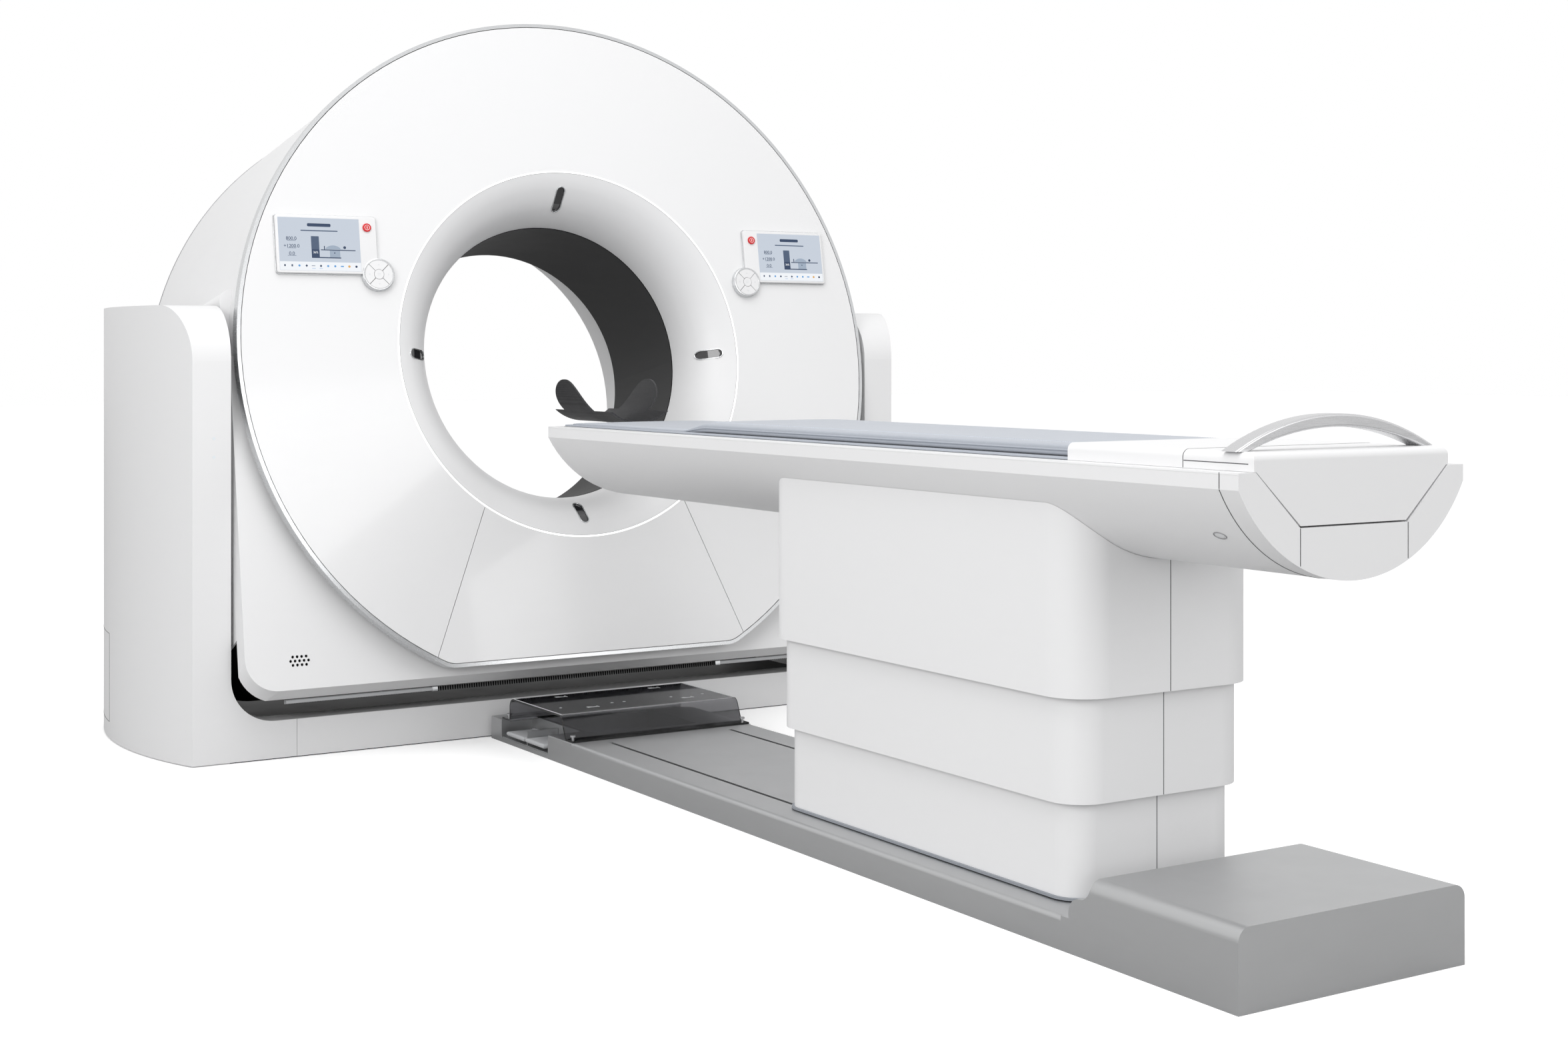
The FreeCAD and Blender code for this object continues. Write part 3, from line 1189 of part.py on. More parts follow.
def pedestal_carriage():
    """Plate over the rail with legs through the slots, and the lift column's lowest tube."""
    body = new_body("pedestal_carriage")
    low = "rail_height + carriage_gap"
    margin = "-carriage_margin"
    extrude(body, "XY", low, "carriage_thick", lambda sketch: stage_outline(sketch, 2, margin))
    leg_rear = "%s - ram_half_depth * 2" % MIDDLE_Y
    for name, side in both_sides():
        extrude(body, "XZ", leg_rear, "ram_half_depth * 4", lambda sketch: side_box(
            sketch, side, "slot_x - leg_thick / 2", "slot_x + leg_thick / 2",
            "rail_wall + guide_height + 2 * shoe_gap", low))
        extrude(body, "XZ", leg_rear, "ram_half_depth * 4", lambda sketch: side_box(
            sketch, side, "slot_x - guide_width / 2 - shoe_overhang",
            "slot_x + guide_width / 2 + shoe_overhang", "rail_wall + guide_height + shoe_gap",
            "rail_height - rail_wall - shoe_room"))
    ram_tube(body, 0, CARRIAGE_TOP, "lower_top")


def lift_column_middle():
    """Middle tube of the lift column with the plate that carries the middle cover."""
    body = new_body("lift_column_middle")
    ram_tube(body, 1, "ram_middle_bottom", "middle_top")

    def shelf(sketch):
        stage_outline(sketch, 1, "cover_wall")
        half_x = "(ram_half_width - 2 * ram_wall - ram_play)"
        half_y = "(ram_half_depth - 2 * ram_wall - ram_play)"
        draw_box(sketch, "-" + half_x, half_x, "%s - %s" % (MIDDLE_Y, half_y),
                 "%s + %s" % (MIDDLE_Y, half_y))
    extrude(body, "XY", "middle_top - shelf_thick", "shelf_thick", shelf)


def lift_column_top():
    """Top tube of the lift column with the head plate that carries the tub."""
    body = new_body("lift_column_top")
    ram_tube(body, 2, "ram_top_bottom", "tub_bottom - head_plate_thick")
    extrude(body, "XY", "tub_bottom - head_plate_thick", "head_plate_thick",
            lambda sketch: draw_box(sketch, "-head_plate_half_width", "head_plate_half_width",
                                    "%s - ram_half_depth" % MIDDLE_Y,
                                    "%s + ram_half_depth" % MIDDLE_Y))


# ---------------------------------------------------------------- table top

def tub_outline(sketch):
    draw_outline(sketch, (
        ("-table_half_width", "lip_bottom", TUB_RADIUS),
        ("0", "tub_bottom", TUB_RADIUS),
        ("table_half_width", "lip_bottom"),
        ("table_half_width", "lip_top"),
        ("-table_half_width", "lip_top")))


def channel_outline(sketch, gap="0", top="lip_top"):
    """Trapezoid of the tub's channel, made smaller all round by gap."""
    draw_outline(sketch, (
        ("-(channel_floor - %s)" % gap, "channel_bottom + %s" % gap),
        ("channel_floor - %s" % gap, "channel_bottom + %s" % gap),
        ("channel_top - %s" % gap, top),
        ("-(channel_top - %s)" % gap, top)))


def tub_void(sketch):
    """Room between the tub's round skin and its channel."""
    radius = "(%s - tub_wall)" % TUB_RADIUS
    top = "(lip_bottom - tub_wall)"
    outer = "sqrt(%s ^ 2 - (tub_bottom + %s - %s) ^ 2)" % (radius, TUB_RADIUS, top)
    lean = "((channel_top - channel_floor) / (lip_top - channel_bottom))"
    floor_x = "(channel_floor + tub_factor * tub_wall - tub_wall * %s)" % lean
    top_x = "(%s + (%s - channel_bottom + tub_wall) * %s)" % (floor_x, top, lean)
    draw_outline(sketch, (
        ("-" + outer, top, radius), ("0", "tub_bottom + tub_wall", radius), (outer, top),
        (top_x, top), (floor_x, "channel_bottom - tub_wall"),
        ("-" + floor_x, "channel_bottom - tub_wall"), ("-" + top_x, top)))


def table_tub():
    """Fixed lower half of the table top: lips, round underside and an open channel."""
    body = new_body("table_tub")
    extrude(body, "XZ", "tub_joint", "tub_tip - tub_joint", tub_outline)
    extrude(body, "XZ", "tub_joint", "tub_tip - tub_joint", channel_outline, cut=True)
    extrude(body, "XZ", "tub_joint", "tub_tip - tub_joint - tub_wall", tub_void, cut=True)


def table_end_cap():
    """Moulded cap that closes the far end of the tub round the cradle."""
    body = new_body("table_end_cap")
    extrude(body, "XZ", "table_end", "tub_joint - table_end", tub_outline)
    extrude(body, "XZ", "table_end", "tub_joint - table_end", channel_outline, cut=True)


CRADLE_TOP = "(lip_top + cradle_rise)"


def cradle():
    """Sliding cradle: a hollow trapezoid beam that runs in the tub's channel."""
    body = new_body("cradle")
    start = "table_end + cradle_tail"
    length = "tub_tip - cradle_nose - table_end - cradle_tail"
    extrude(body, "XZ", start, length, lambda sketch: channel_outline(
        sketch, "cradle_gap", CRADLE_TOP))
    extrude(body, "XZ", start, length, lambda sketch: channel_outline(
        sketch, "(cradle_gap + cradle_wall * cover_factor)", CRADLE_TOP + " - cradle_wall"), cut=True)


def cradle_end_panel():
    body = new_body("cradle_end_panel")
    extrude(body, "XZ", "table_end + end_panel_inset", "cradle_tail - end_panel_inset",
            lambda sketch: channel_outline(sketch, "cradle_gap", CRADLE_TOP))


def mattress():
    """Thin pad on the cradle, thicker beyond a short ramp."""
    body = new_body("mattress")
    low = CRADLE_TOP
    extrude(body, "YZ", "-pad_half_width", "2 * pad_half_width", lambda sketch: draw_outline(sketch, (
        ("console_front + seam_gap", low), ("tub_tip - pad_end", low),
        ("tub_tip - pad_end", low + " + pad_thin"),
        ("pad_ramp_front", low + " + pad_thin"), ("pad_ramp_rear", low + " + pad_thick"),
        ("console_front + seam_gap", low + " + pad_thick"))))


def head_holder():
    """Trough with two raised wings, on a tongue that plugs into the cradle."""
    body = new_body("head_holder")
    centre = "(holder_base + holder_radius)"

    def trough(sketch):
        draw_outline(sketch, (
            ("-holder_radius", centre, "holder_radius"), ("holder_radius", centre),
            ("holder_radius - holder_wall", centre, "-(holder_radius - holder_wall)"),
            ("-(holder_radius - holder_wall)", centre)))
    extrude(body, "XZ", "tub_tip - holder_lap", "holder_front - tub_tip + holder_lap", trough)
    high = "holder_base + 2 * holder_radius"
    low = "holder_base + holder_low"
    top = "holder_base + holder_high"
    wing_round = "((wing_front - wing_rear) / 2)"

    def above_trough(sketch):
        draw_outline(sketch, (
            ("tub_tip - wing_cut", low), ("wing_rear", low),
            ("wing_rear", "%s - %s" % (top, wing_round), "-" + wing_round),
            ("wing_front", "%s - %s" % (top, wing_round)), ("wing_front", low),
            ("holder_front + holder_end", low), ("holder_front + holder_end", high),
            ("tub_tip - wing_cut", high)))
    extrude(body, "YZ", "-holder_radius - 5", "2 * holder_radius + 10", above_trough, cut=True)
    tongue_top = "(%s - cradle_wall)" % CRADLE_TOP
    extrude(body, "XZ", "tub_tip - holder_lap", "holder_wall", lambda sketch: draw_box(
        sketch, "-tongue_half_width", "tongue_half_width", "%s - holder_wall" % tongue_top,
        "holder_base + holder_wall"))
    extrude(body, "XZ", "tub_tip - holder_lap - tongue_length", "tongue_length", lambda sketch: draw_box(
        sketch, "-tongue_half_width", "tongue_half_width", "%s - holder_wall" % tongue_top, tongue_top))


def console_cover():
    """White cover on the far end of the cradle, under the handle."""
    body = new_body("console_cover")
    extrude(body, "XY", CRADLE_TOP, "console_top - " + CRADLE_TOP, lambda sketch: draw_box(
        sketch, "-console_half_width", "console_half_width", "table_end + end_panel_inset",
        "console_front"))
    round_edges(body, "console_round", lambda middle, way: near(middle.z, "console_top")
                and middle.y < value("console_front - 5"))
    extrude(body, "XY", CRADLE_TOP, "console_top - cover_wall - " + CRADLE_TOP, lambda sketch: draw_box(
        sketch, "-(console_half_width - console_round)", "console_half_width - console_round",
        "table_end + console_round", "console_front - cover_wall"), cut=True)


def carry_handle():
    """Aluminium arch across the console."""
    body = new_body("carry_handle")
    inner_foot = "(handle_foot - 1.4 * handle_bar)"
    inner_rise = "(handle_rise - handle_bar)"

    def arch(foot, rise):
        return "((%s ^ 2 + %s ^ 2) / (2 * %s))" % (foot, rise, rise)
    extrude(body, "XZ", "handle_y - handle_depth / 2", "handle_depth", lambda sketch: draw_outline(sketch, (
        ("handle_foot", "console_top", arch("handle_foot", "handle_rise")),
        ("-handle_foot", "console_top"),
        ("-" + inner_foot, "console_top", "-" + arch(inner_foot, inner_rise)),
        (inner_foot, "console_top"))))
    round_edges(body, "handle_round", lambda middle, way: abs(middle.x) < 1
                and middle.z > value("console_top + 5"))


# ---------------------------------------------------------------- assembly

crossbar_cover()
for side_name, side_sign in both_sides():
    pillar_cover(side_name, side_sign)
steel_base()
trunnion_bearings()
for make in (front_cover, service_cover, trim_ring, led_ring, front_funnel, laser_windows, bore_liner,
             upper_shroud, lower_cover, belly_cover, rear_cover, control_panels, screens):
    make()
for side_name, side_sign in both_sides():
    stop_button(side_name, side_sign)
    centre_key(side_name, side_sign)
    for turn, direction in enumerate(("up", "right", "down", "left")):
        sector_key("%s_%s_key" % (side_name, direction), side_sign, turn)
for make in (tilt_frame, bearing_outer_race, rotor_drum, xray_tube, detector_arc,
             high_voltage_tanks, slip_ring, base_rail, carriage_guides, rail_front_block,
             rail_end_box, smoked_hood, hood_thumbscrews, pedal_bracket):
    make()
for pedal_name, pedal_start, pedal_end in pedal_spans():
    pedal(pedal_name, pedal_start, pedal_end)
pedestal_carriage()
stage_cover("pedestal_lower_cover", 2, CARRIAGE_TOP, "lower_top")
stage_cover("pedestal_middle_cover", 1, "middle_bottom", "middle_top")
for make in (pedestal_upper_cover, lift_column_middle, lift_column_top, table_tub, table_end_cap,
             cradle, cradle_end_panel, mattress, head_holder, console_cover, carry_handle):
    make()

doc.recompute()
for item in doc.Objects:
    if {"Invalid", "Error"} & set(item.State):
        raise RuntimeError("%s failed: %s" % (item.Name, item.State))
os.makedirs("parts", exist_ok=True)
for body in BODIES:
    shape = body.Shape
    if shape.isNull() or not shape.isValid():
        raise RuntimeError("%s has no valid shape" % body.Label)
    shape.exportStep("parts/%s.step" % body.Label)
    print("%-24s solids %d volume %.0f cm3" % (body.Label, len(shape.Solids), shape.Volume / 1000))
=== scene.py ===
import math
import bmesh
import bpy
import numpy as np
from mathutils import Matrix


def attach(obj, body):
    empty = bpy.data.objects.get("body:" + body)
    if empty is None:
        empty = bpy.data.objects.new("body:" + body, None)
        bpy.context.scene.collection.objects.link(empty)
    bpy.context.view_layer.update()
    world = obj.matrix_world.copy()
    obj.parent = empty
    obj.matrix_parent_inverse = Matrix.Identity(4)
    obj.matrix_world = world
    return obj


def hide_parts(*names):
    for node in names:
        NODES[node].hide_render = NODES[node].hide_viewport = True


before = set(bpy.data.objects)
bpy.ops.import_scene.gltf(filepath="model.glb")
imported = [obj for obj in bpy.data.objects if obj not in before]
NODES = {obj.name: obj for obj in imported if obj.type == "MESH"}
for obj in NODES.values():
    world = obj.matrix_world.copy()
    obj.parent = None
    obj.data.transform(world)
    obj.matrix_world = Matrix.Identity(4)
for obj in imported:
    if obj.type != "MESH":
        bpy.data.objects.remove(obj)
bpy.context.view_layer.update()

# Looks of a CT scanner: gantry, stand, pedestal, table top and floor rail, in metres.

TAU = 2 * math.pi
SIDES = {-1: "left", 1: "right"}

# ------------------------------------------------------------ places on the machine

LEAN = math.radians(9.6)
PIVOT = np.array([0.0, 0.394, 1.033])
ALONG = np.array([0.0, math.cos(LEAN), -math.sin(LEAN)])
RISE = np.array([0.0, math.sin(LEAN), math.cos(LEAN)])
FACE = PIVOT - 0.4 * ALONG
FUNNEL_ROUND, FUNNEL_CENTRE, FUNNEL_REACH = 0.19, 0.6, 0.1794
TUB_CENTRE_Z = 1.0109
TUB_RADIUS = 0.3059
TUB_END, CAP_JOINT = -3.110, -3.063
LIP_HALF = 0.271
CAP_SEAM = 0.130
CRADLE_TOP = 0.8984
CONSOLE_HALF, CONSOLE_TOP, CONSOLE_STEP = 0.234, 0.931, -2.930
PANEL_INNER, PANEL_OUTER, PANEL_LOW, PANEL_HIGH = 0.589, 0.873, 0.216, 0.379
SCREEN_INNER, SCREEN_OUTER, SCREEN_LOW = 0.638, 0.866, 0.223
STOP_ACROSS, STOP_UP = 0.616, 0.348
PAD = PANEL_INNER, PANEL_LOW
KEY_FRONT, CENTRE_KEY_FRONT, STOP_FRONT = 0.0149, 0.0154, 0.0159
HOOD_TOP = 0.128
BUMPER_DEPTH, BUMPER_UP = 0.128, -0.9345


def on_gantry(across, depth, up):
    """Point from its distances right of, behind and above the bore's front centre."""
    across, depth, up = np.broadcast_arrays(across, depth, up)
    return (across[..., None] * np.array([1.0, 0, 0]) + depth[..., None] * ALONG
            + up[..., None] * RISE + FACE)


def on_face(outline, stand):
    """Outline drawn on the gantry's front plane, standing out from it."""
    return on_gantry(outline[:, 0], -stand, outline[:, 1])


def on_floor_plan(outline, height):
    """Outline drawn in plan, at a height."""
    return np.column_stack([outline, np.full(len(outline), height)])


def on_end(outline, along):
    """Outline drawn on an upright plane that faces the far end of the table."""
    return np.column_stack([outline[:, 0], np.full(len(outline), along), outline[:, 1]])


def throat_depth(radius):
    """Depth of the front funnel at a radius: an arc of 190 mm about (600, 179.4)."""
    left_over = FUNNEL_ROUND ** 2 - (FUNNEL_CENTRE - radius) ** 2
    return FUNNEL_REACH - np.sqrt(np.maximum(left_over, 0))


# ------------------------------------------------------------ outlines

def rounded_box(left, right, low, high, corner, steps=7):
    """Anticlockwise rectangle whose corners are quarter circles."""
    turn = np.linspace(0, TAU / 4, steps)
    parts = [(right - corner, high - corner, 0), (left + corner, high - corner, 1),
             (left + corner, low + corner, 2), (right - corner, low + corner, 3)]
    return np.concatenate([np.column_stack([
        x + corner * np.cos(turn + quarter * TAU / 4),
        y + corner * np.sin(turn + quarter * TAU / 4)]) for x, y, quarter in parts])


def disc(x, y, radius, steps=32):
    """Anticlockwise circle."""
    turn = np.arange(steps) * TAU / steps
    return np.column_stack([x + radius * np.cos(turn), y + radius * np.sin(turn)])


def polygon(*corners):
    """Outline from its corners."""
    return np.array(corners, float)


def normals_of(outline):
    """Outward direction at each corner of an anticlockwise outline: the mean of the
    directions square to the sides that meet there."""
    ahead = np.roll(outline, -1, axis=0) - outline
    ahead /= np.maximum(np.linalg.norm(ahead, axis=1, keepdims=True), 1e-12)
    square = np.column_stack([ahead[:, 1], -ahead[:, 0]])
    mean = square + np.roll(square, 1, axis=0)
    return mean / np.maximum(np.linalg.norm(mean, axis=1, keepdims=True), 1e-12)


# ------------------------------------------------------------ meshes

def new_piece(name, points, faces, material, body, slot=None, sharp=35):
    """A mesh object from its points and faces, its normals turned outwards."""
    mesh = bpy.data.meshes.new(name)
    mesh.from_pydata(np.asarray(points, float).reshape(-1, 3).tolist(), [], faces)
    work = bmesh.new()
    work.from_mesh(mesh)
    bmesh.ops.remove_doubles(work, verts=work.verts, dist=1e-6)
    bmesh.ops.recalc_face_normals(work, faces=work.faces)
    work.to_mesh(mesh)
    work.free()
    mesh.shade_smooth()
    mesh.set_sharp_from_angle(angle=math.radians(sharp))
    mesh.materials.append(material)
    piece = bpy.data.objects.new(name, mesh)
    bpy.context.scene.collection.objects.link(piece)
    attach(piece, body)
    return piece


def grid_faces(rows, columns, ring=True, loop=False, start=0):
    """Quads between neighbouring rows of a grid; ring joins each row's ends and loop
    joins the last row to the first."""
    i = np.arange(rows if loop else rows - 1)
    j = np.arange(columns if ring else columns - 1)
    i, j = np.meshgrid(i, j, indexing="ij")
    i, j = i.ravel(), j.ravel()
    near, far = i * columns, ((i + 1) % rows) * columns
    side = (j + 1) % columns
    return (start + np.column_stack([near + j, near + side, far + side, far + j])).tolist()


def surface(name, grid, material, body, slot=None, ring=True, loop=False, caps=True, sharp=35):
    """Skin over a grid of points, its two end rows closed by flat caps."""
    rows, columns = grid.shape[:2]
    faces = grid_faces(rows, columns, ring, loop)
    if caps and ring and not loop:
        faces += [list(range(columns)), list(range((rows - 1) * columns, rows * columns))]
    return new_piece(name, grid, faces, material, body, slot, sharp)


def slab_grid(outline, low, high, edge, place, steps=4):
    """Rows of a plate: its wall from low up to the rounded edge, then the round, which
    draws the outline in along its normals as a quarter circle does."""
    turn = np.linspace(0, TAU / 4, steps)
    inset = np.concatenate([[0.0], edge * (1 - np.cos(turn))])
    height = np.concatenate([[low], high - edge + edge * np.sin(turn)])
    square = normals_of(outline)
    return np.stack([place(outline - square * d, h) for d, h in zip(inset, height)])


def slab(name, outline, low, high, edge, place, material, body, slot=None):
    """Plate with a rounded front edge."""
    return surface(name, slab_grid(outline, low, high, edge, place), material, body, slot)


def tiles(name, outlines, low, high, place, material, body, slot=None):
    """Many thin plates in one mesh."""
    points, faces, count = [], [], 0
    for outline in outlines:
        grid = np.stack([place(outline, low), place(outline, high)])
        size = len(outline)
        faces += grid_faces(2, size, start=count)
        faces += [list(range(count, count + size)), list(range(count + size, count + 2 * size))]
        points.append(grid.reshape(-1, 3))
        count += 2 * size
    return new_piece(name, np.concatenate(points), faces, material, body, slot)


def sweep(name, path, section, material, body, slot=None, up=(0, 0, 1), closed=False):
    """Section carried along a path: its first number lies square to the path and to up,
    its second along the direction square to both."""
    path = np.asarray(path, float)
    ahead = np.roll(path, -1, axis=0) - np.roll(path, 1, axis=0)
    if not closed:
        ahead[0], ahead[-1] = path[1] - path[0], path[-1] - path[-2]
    ahead /= np.linalg.norm(ahead, axis=1, keepdims=True)
    up = np.broadcast_to(np.asarray(up, float), path.shape)
    side = np.cross(ahead, up)
    side /= np.linalg.norm(side, axis=1, keepdims=True)
    over = np.cross(side, ahead)
    grid = (path[:, None] + section[None, :, :1] * side[:, None]
            + section[None, :, 1:] * over[:, None])
    return surface(name, grid, material, body, slot, loop=closed)


def bar_section(width, height, corner):
    """Section of a bar with rounded corners."""
    return rounded_box(-width / 2, width / 2, -height / 2, height / 2, corner, 4)


def seam(name, path, body, up, width=0.0016, proud=0.0004, closed=False):
    """Narrow dark line that lies on a surface, such as the gap between two covers."""
    section = rounded_box(-width / 2, width / 2, -0.0012, proud, 0.0002, 2)
    return sweep(name, path, section, SEAM, body, None, up, closed)


def lettering(name, words, place, material, body):
    """Flat text in one mesh; words are (text, x, y, height) and place puts them up."""
    points, faces, count = [], [], 0
    for text, x, y, height in words:
        curve = bpy.data.curves.new(name + "_line", "FONT")
        curve.body = text
        curve.size = height
        curve.align_x, curve.align_y = "CENTER", "CENTER"
        curve.extrude = 0.0002
        holder = bpy.data.objects.new(name + "_line", curve)
        bpy.context.scene.collection.objects.link(holder)
        bpy.context.view_layer.update()
        flat = bpy.data.meshes.new_from_object(holder)
        corners = np.zeros(len(flat.vertices) * 3)
        flat.vertices.foreach_get("co", corners)
        corners = corners.reshape(-1, 3)
        points.append(place(corners[:, :2] + [x, y], corners[:, 2]))
        faces += [[count + index for index in face.vertices] for face in flat.polygons]
        count += len(corners)
        bpy.data.objects.remove(holder)
        bpy.data.meshes.remove(flat)
    return new_piece(name, np.concatenate(points), faces, material, body)


# ------------------------------------------------------------ shader node groups

def node_group(name, inputs, outputs):
    """A shader group with named sockets; returns it with its two end nodes."""
    tree = bpy.data.node_groups.new(name, "ShaderNodeTree")
    kinds = {"value": "NodeSocketFloat", "colour": "NodeSocketColor", "vector": "NodeSocketVector"}
    for label, kind, start in inputs:
        socket = tree.interface.new_socket(label, in_out="INPUT", socket_type=kinds[kind])
        if start is not None:
            socket.default_value = start
    for label, kind in outputs:
        tree.interface.new_socket(label, in_out="OUTPUT", socket_type=kinds[kind])
    return tree, tree.nodes.new("NodeGroupInput"), tree.nodes.new("NodeGroupOutput")


def add(tree, kind, settings=None, **sockets):
    """A node with its settings, its named inputs set to numbers or linked to sockets."""
    node = tree.nodes.new("ShaderNode" + kind)
    for key, item in (settings or {}).items():
        setattr(node, key, item)
    for key, item in sockets.items():
        wire(tree, node.inputs[key.replace("_", " ")], item)
    return node


def wire(tree, socket, item):
    """Sets a socket to a number, or links another socket to it."""
    if isinstance(item, bpy.types.NodeSocket):
        tree.links.new(item, socket)
    else:
        socket.default_value = item


def calculate(tree, operation, *items):
    """Result of one sum on numbers or sockets."""
    node = tree.nodes.new("ShaderNodeMath")
    node.operation = operation
    for socket, item in zip(node.inputs, items):
        wire(tree, socket, item)
    return node.outputs[0]


def scaled(tree, vector, size):
    """Vector multiplied by a size along each axis."""
    node = tree.nodes.new("ShaderNodeVectorMath")
    node.operation = "MULTIPLY"
    wire(tree, node.inputs[0], vector)
    wire(tree, node.inputs[1], size)
    return node.outputs[0]


def make_grain():
    """Fine pebbled skin of moulded or blasted parts: two scales of noise added."""
    tree, start, end = node_group("fine_grain", (
        ("Vector", "vector", None), ("Scale", "value", 400.0), ("Coarse", "value", 0.3)),
        (("Height", "value"), ("Mask", "value")))
    fine = add(tree, "TexNoise", Vector=start.outputs["Vector"], Scale=start.outputs["Scale"],
               Detail=3.0)
    wide = add(tree, "TexNoise", Vector=start.outputs["Vector"],
               Scale=calculate(tree, "MULTIPLY", start.outputs["Scale"], 0.08), Detail=2.0)
    both = calculate(tree, "ADD", fine.outputs["Fac"],
                     calculate(tree, "MULTIPLY", wide.outputs["Fac"], start.outputs["Coarse"]))
    tree.links.new(both, end.inputs["Height"])
    tree.links.new(wide.outputs["Fac"], end.inputs["Mask"])
    return tree


def make_handling():
    """Where hands and cloths have rubbed: broad soft patches that shift the roughness,
    and a faint change of tone."""
    tree, start, end = node_group("handling", (
        ("Vector", "vector", None), ("Colour", "colour", (0.8, 0.8, 0.8, 1)),
        ("Worn Colour", "colour", (0.7, 0.7, 0.7, 1)), ("Tone", "value", 0.1),
        ("Roughness", "value", 0.4), ("Spread", "value", 0.08), ("Scale", "value", 3.0)),
        (("Colour", "colour"), ("Roughness", "value")))
    patches = add(tree, "TexNoise", Vector=start.outputs["Vector"], Scale=start.outputs["Scale"],
                  Detail=5.0, Roughness=0.6, Distortion=0.4)
    smears = add(tree, "TexNoise",
                 Vector=scaled(tree, start.outputs["Vector"], (1.0, 1.0, 5.0)),
                 Scale=calculate(tree, "MULTIPLY", start.outputs["Scale"], 4.0), Detail=4.0)
    mask = calculate(tree, "MULTIPLY", patches.outputs["Fac"], smears.outputs["Fac"])
    centred = calculate(tree, "SUBTRACT", mask, 0.25)
    rough = calculate(tree, "MULTIPLY_ADD", centred,
                      calculate(tree, "MULTIPLY", start.outputs["Spread"], 4.0),
                      start.outputs["Roughness"])
    blend = add(tree, "Mix", {"data_type": "RGBA"})
    wire(tree, blend.inputs[0], calculate(tree, "MULTIPLY", mask, start.outputs["Tone"]))
    wire(tree, blend.inputs[6], start.outputs["Colour"])
    wire(tree, blend.inputs[7], start.outputs["Worn Colour"])
    tree.links.new(blend.outputs[2], end.inputs["Colour"])
    tree.links.new(rough, end.inputs["Roughness"])
    return tree


def make_brushing():
    """Hair lines of brushed metal: noise drawn out along one direction."""
    tree, start, end = node_group("brushing", (
        ("Vector", "vector", None), ("Stretch", "vector", (1.0, 60.0, 60.0)),
        ("Roughness", "value", 0.3), ("Spread", "value", 0.12)),
        (("Height", "value"), ("Roughness", "value")))
    lines = add(tree, "TexNoise",
                Vector=scaled(tree, start.outputs["Vector"], start.outputs["Stretch"]),
                Scale=12.0, Detail=4.0)
    rough = calculate(tree, "MULTIPLY_ADD",
                      calculate(tree, "SUBTRACT", lines.outputs["Fac"], 0.5),
                      start.outputs["Spread"], start.outputs["Roughness"])
    tree.links.new(lines.outputs["Fac"], end.inputs["Height"])
    tree.links.new(rough, end.inputs["Roughness"])
    return tree


def make_weave():
    """Plain weave: two sets of rounded threads that go over and under in turn.  Over is
    the sign of the product of two sines, and a thread's height is its own sine."""
    tree, start, end = node_group("weave", (
        ("Vector", "vector", None), ("Threads", "value", 400.0),
        ("Dark", "colour", (0.01, 0.01, 0.01, 1)), ("Light", "colour", (0.1, 0.1, 0.1, 1))),
        (("Colour", "colour"), ("Height", "value")))
    axes = add(tree, "SeparateXYZ", Vector=start.outputs["Vector"])
    turned = []
    for index in (0, 1):
        sum_of = calculate(tree, "ADD", axes.outputs[index],
                           calculate(tree, "MULTIPLY", axes.outputs[2], 1.0 if index == 0 else 0.7))
        turned.append(calculate(tree, "SINE", calculate(
            tree, "MULTIPLY", sum_of, calculate(tree, "MULTIPLY", start.outputs["Threads"], math.pi))))
    over = calculate(tree, "GREATER_THAN", calculate(tree, "MULTIPLY", *turned), 0.0)
    first = calculate(tree, "ABSOLUTE", turned[0])
    second = calculate(tree, "ABSOLUTE", turned[1])
    height = calculate(tree, "ADD", calculate(tree, "MULTIPLY", over, first),
                       calculate(tree, "MULTIPLY", calculate(tree, "SUBTRACT", 1.0, over),
                                 calculate(tree, "MULTIPLY", second, 0.6)))
    blend = add(tree, "Mix", {"data_type": "RGBA"})
    wire(tree, blend.inputs[0], height)
    wire(tree, blend.inputs[6], start.outputs["Dark"])
    wire(tree, blend.inputs[7], start.outputs["Light"])
    tree.links.new(blend.outputs[2], end.inputs["Colour"])
    tree.links.new(height, end.inputs["Height"])
    return tree


GRAIN, HANDLING, BRUSHING, WEAVE = make_grain(), make_handling(), make_brushing(), make_weave()


# ------------------------------------------------------------ materials

def new_material(name):
    """Empty material with its shader and its object coordinates."""
    material = bpy.data.materials.new(name)
    material.use_nodes = True
    tree = material.node_tree
    shader = tree.nodes["Principled BSDF"]
    place = add(tree, "TexCoord").outputs["Object"]
    return material, tree, shader, place


def use(tree, group, **sockets):
    """A shader group with its inputs set or linked."""
    node = tree.nodes.new("ShaderNodeGroup")
    node.node_tree = group
    for key, item in sockets.items():
        wire(tree, node.inputs[key.replace("_", " ")], item)
    return node


def bump(tree, shader, height, strength, distance):
    """Raises the surface by a height."""
    node = add(tree, "Bump", Strength=strength, Distance=distance, Height=height)
    tree.links.new(node.outputs["Normal"], shader.inputs["Normal"])


def settle(shader, **sockets):
    """Sets constants on the shader."""
    for key, item in sockets.items():
        shader.inputs[key.replace("_", " ")].default_value = item


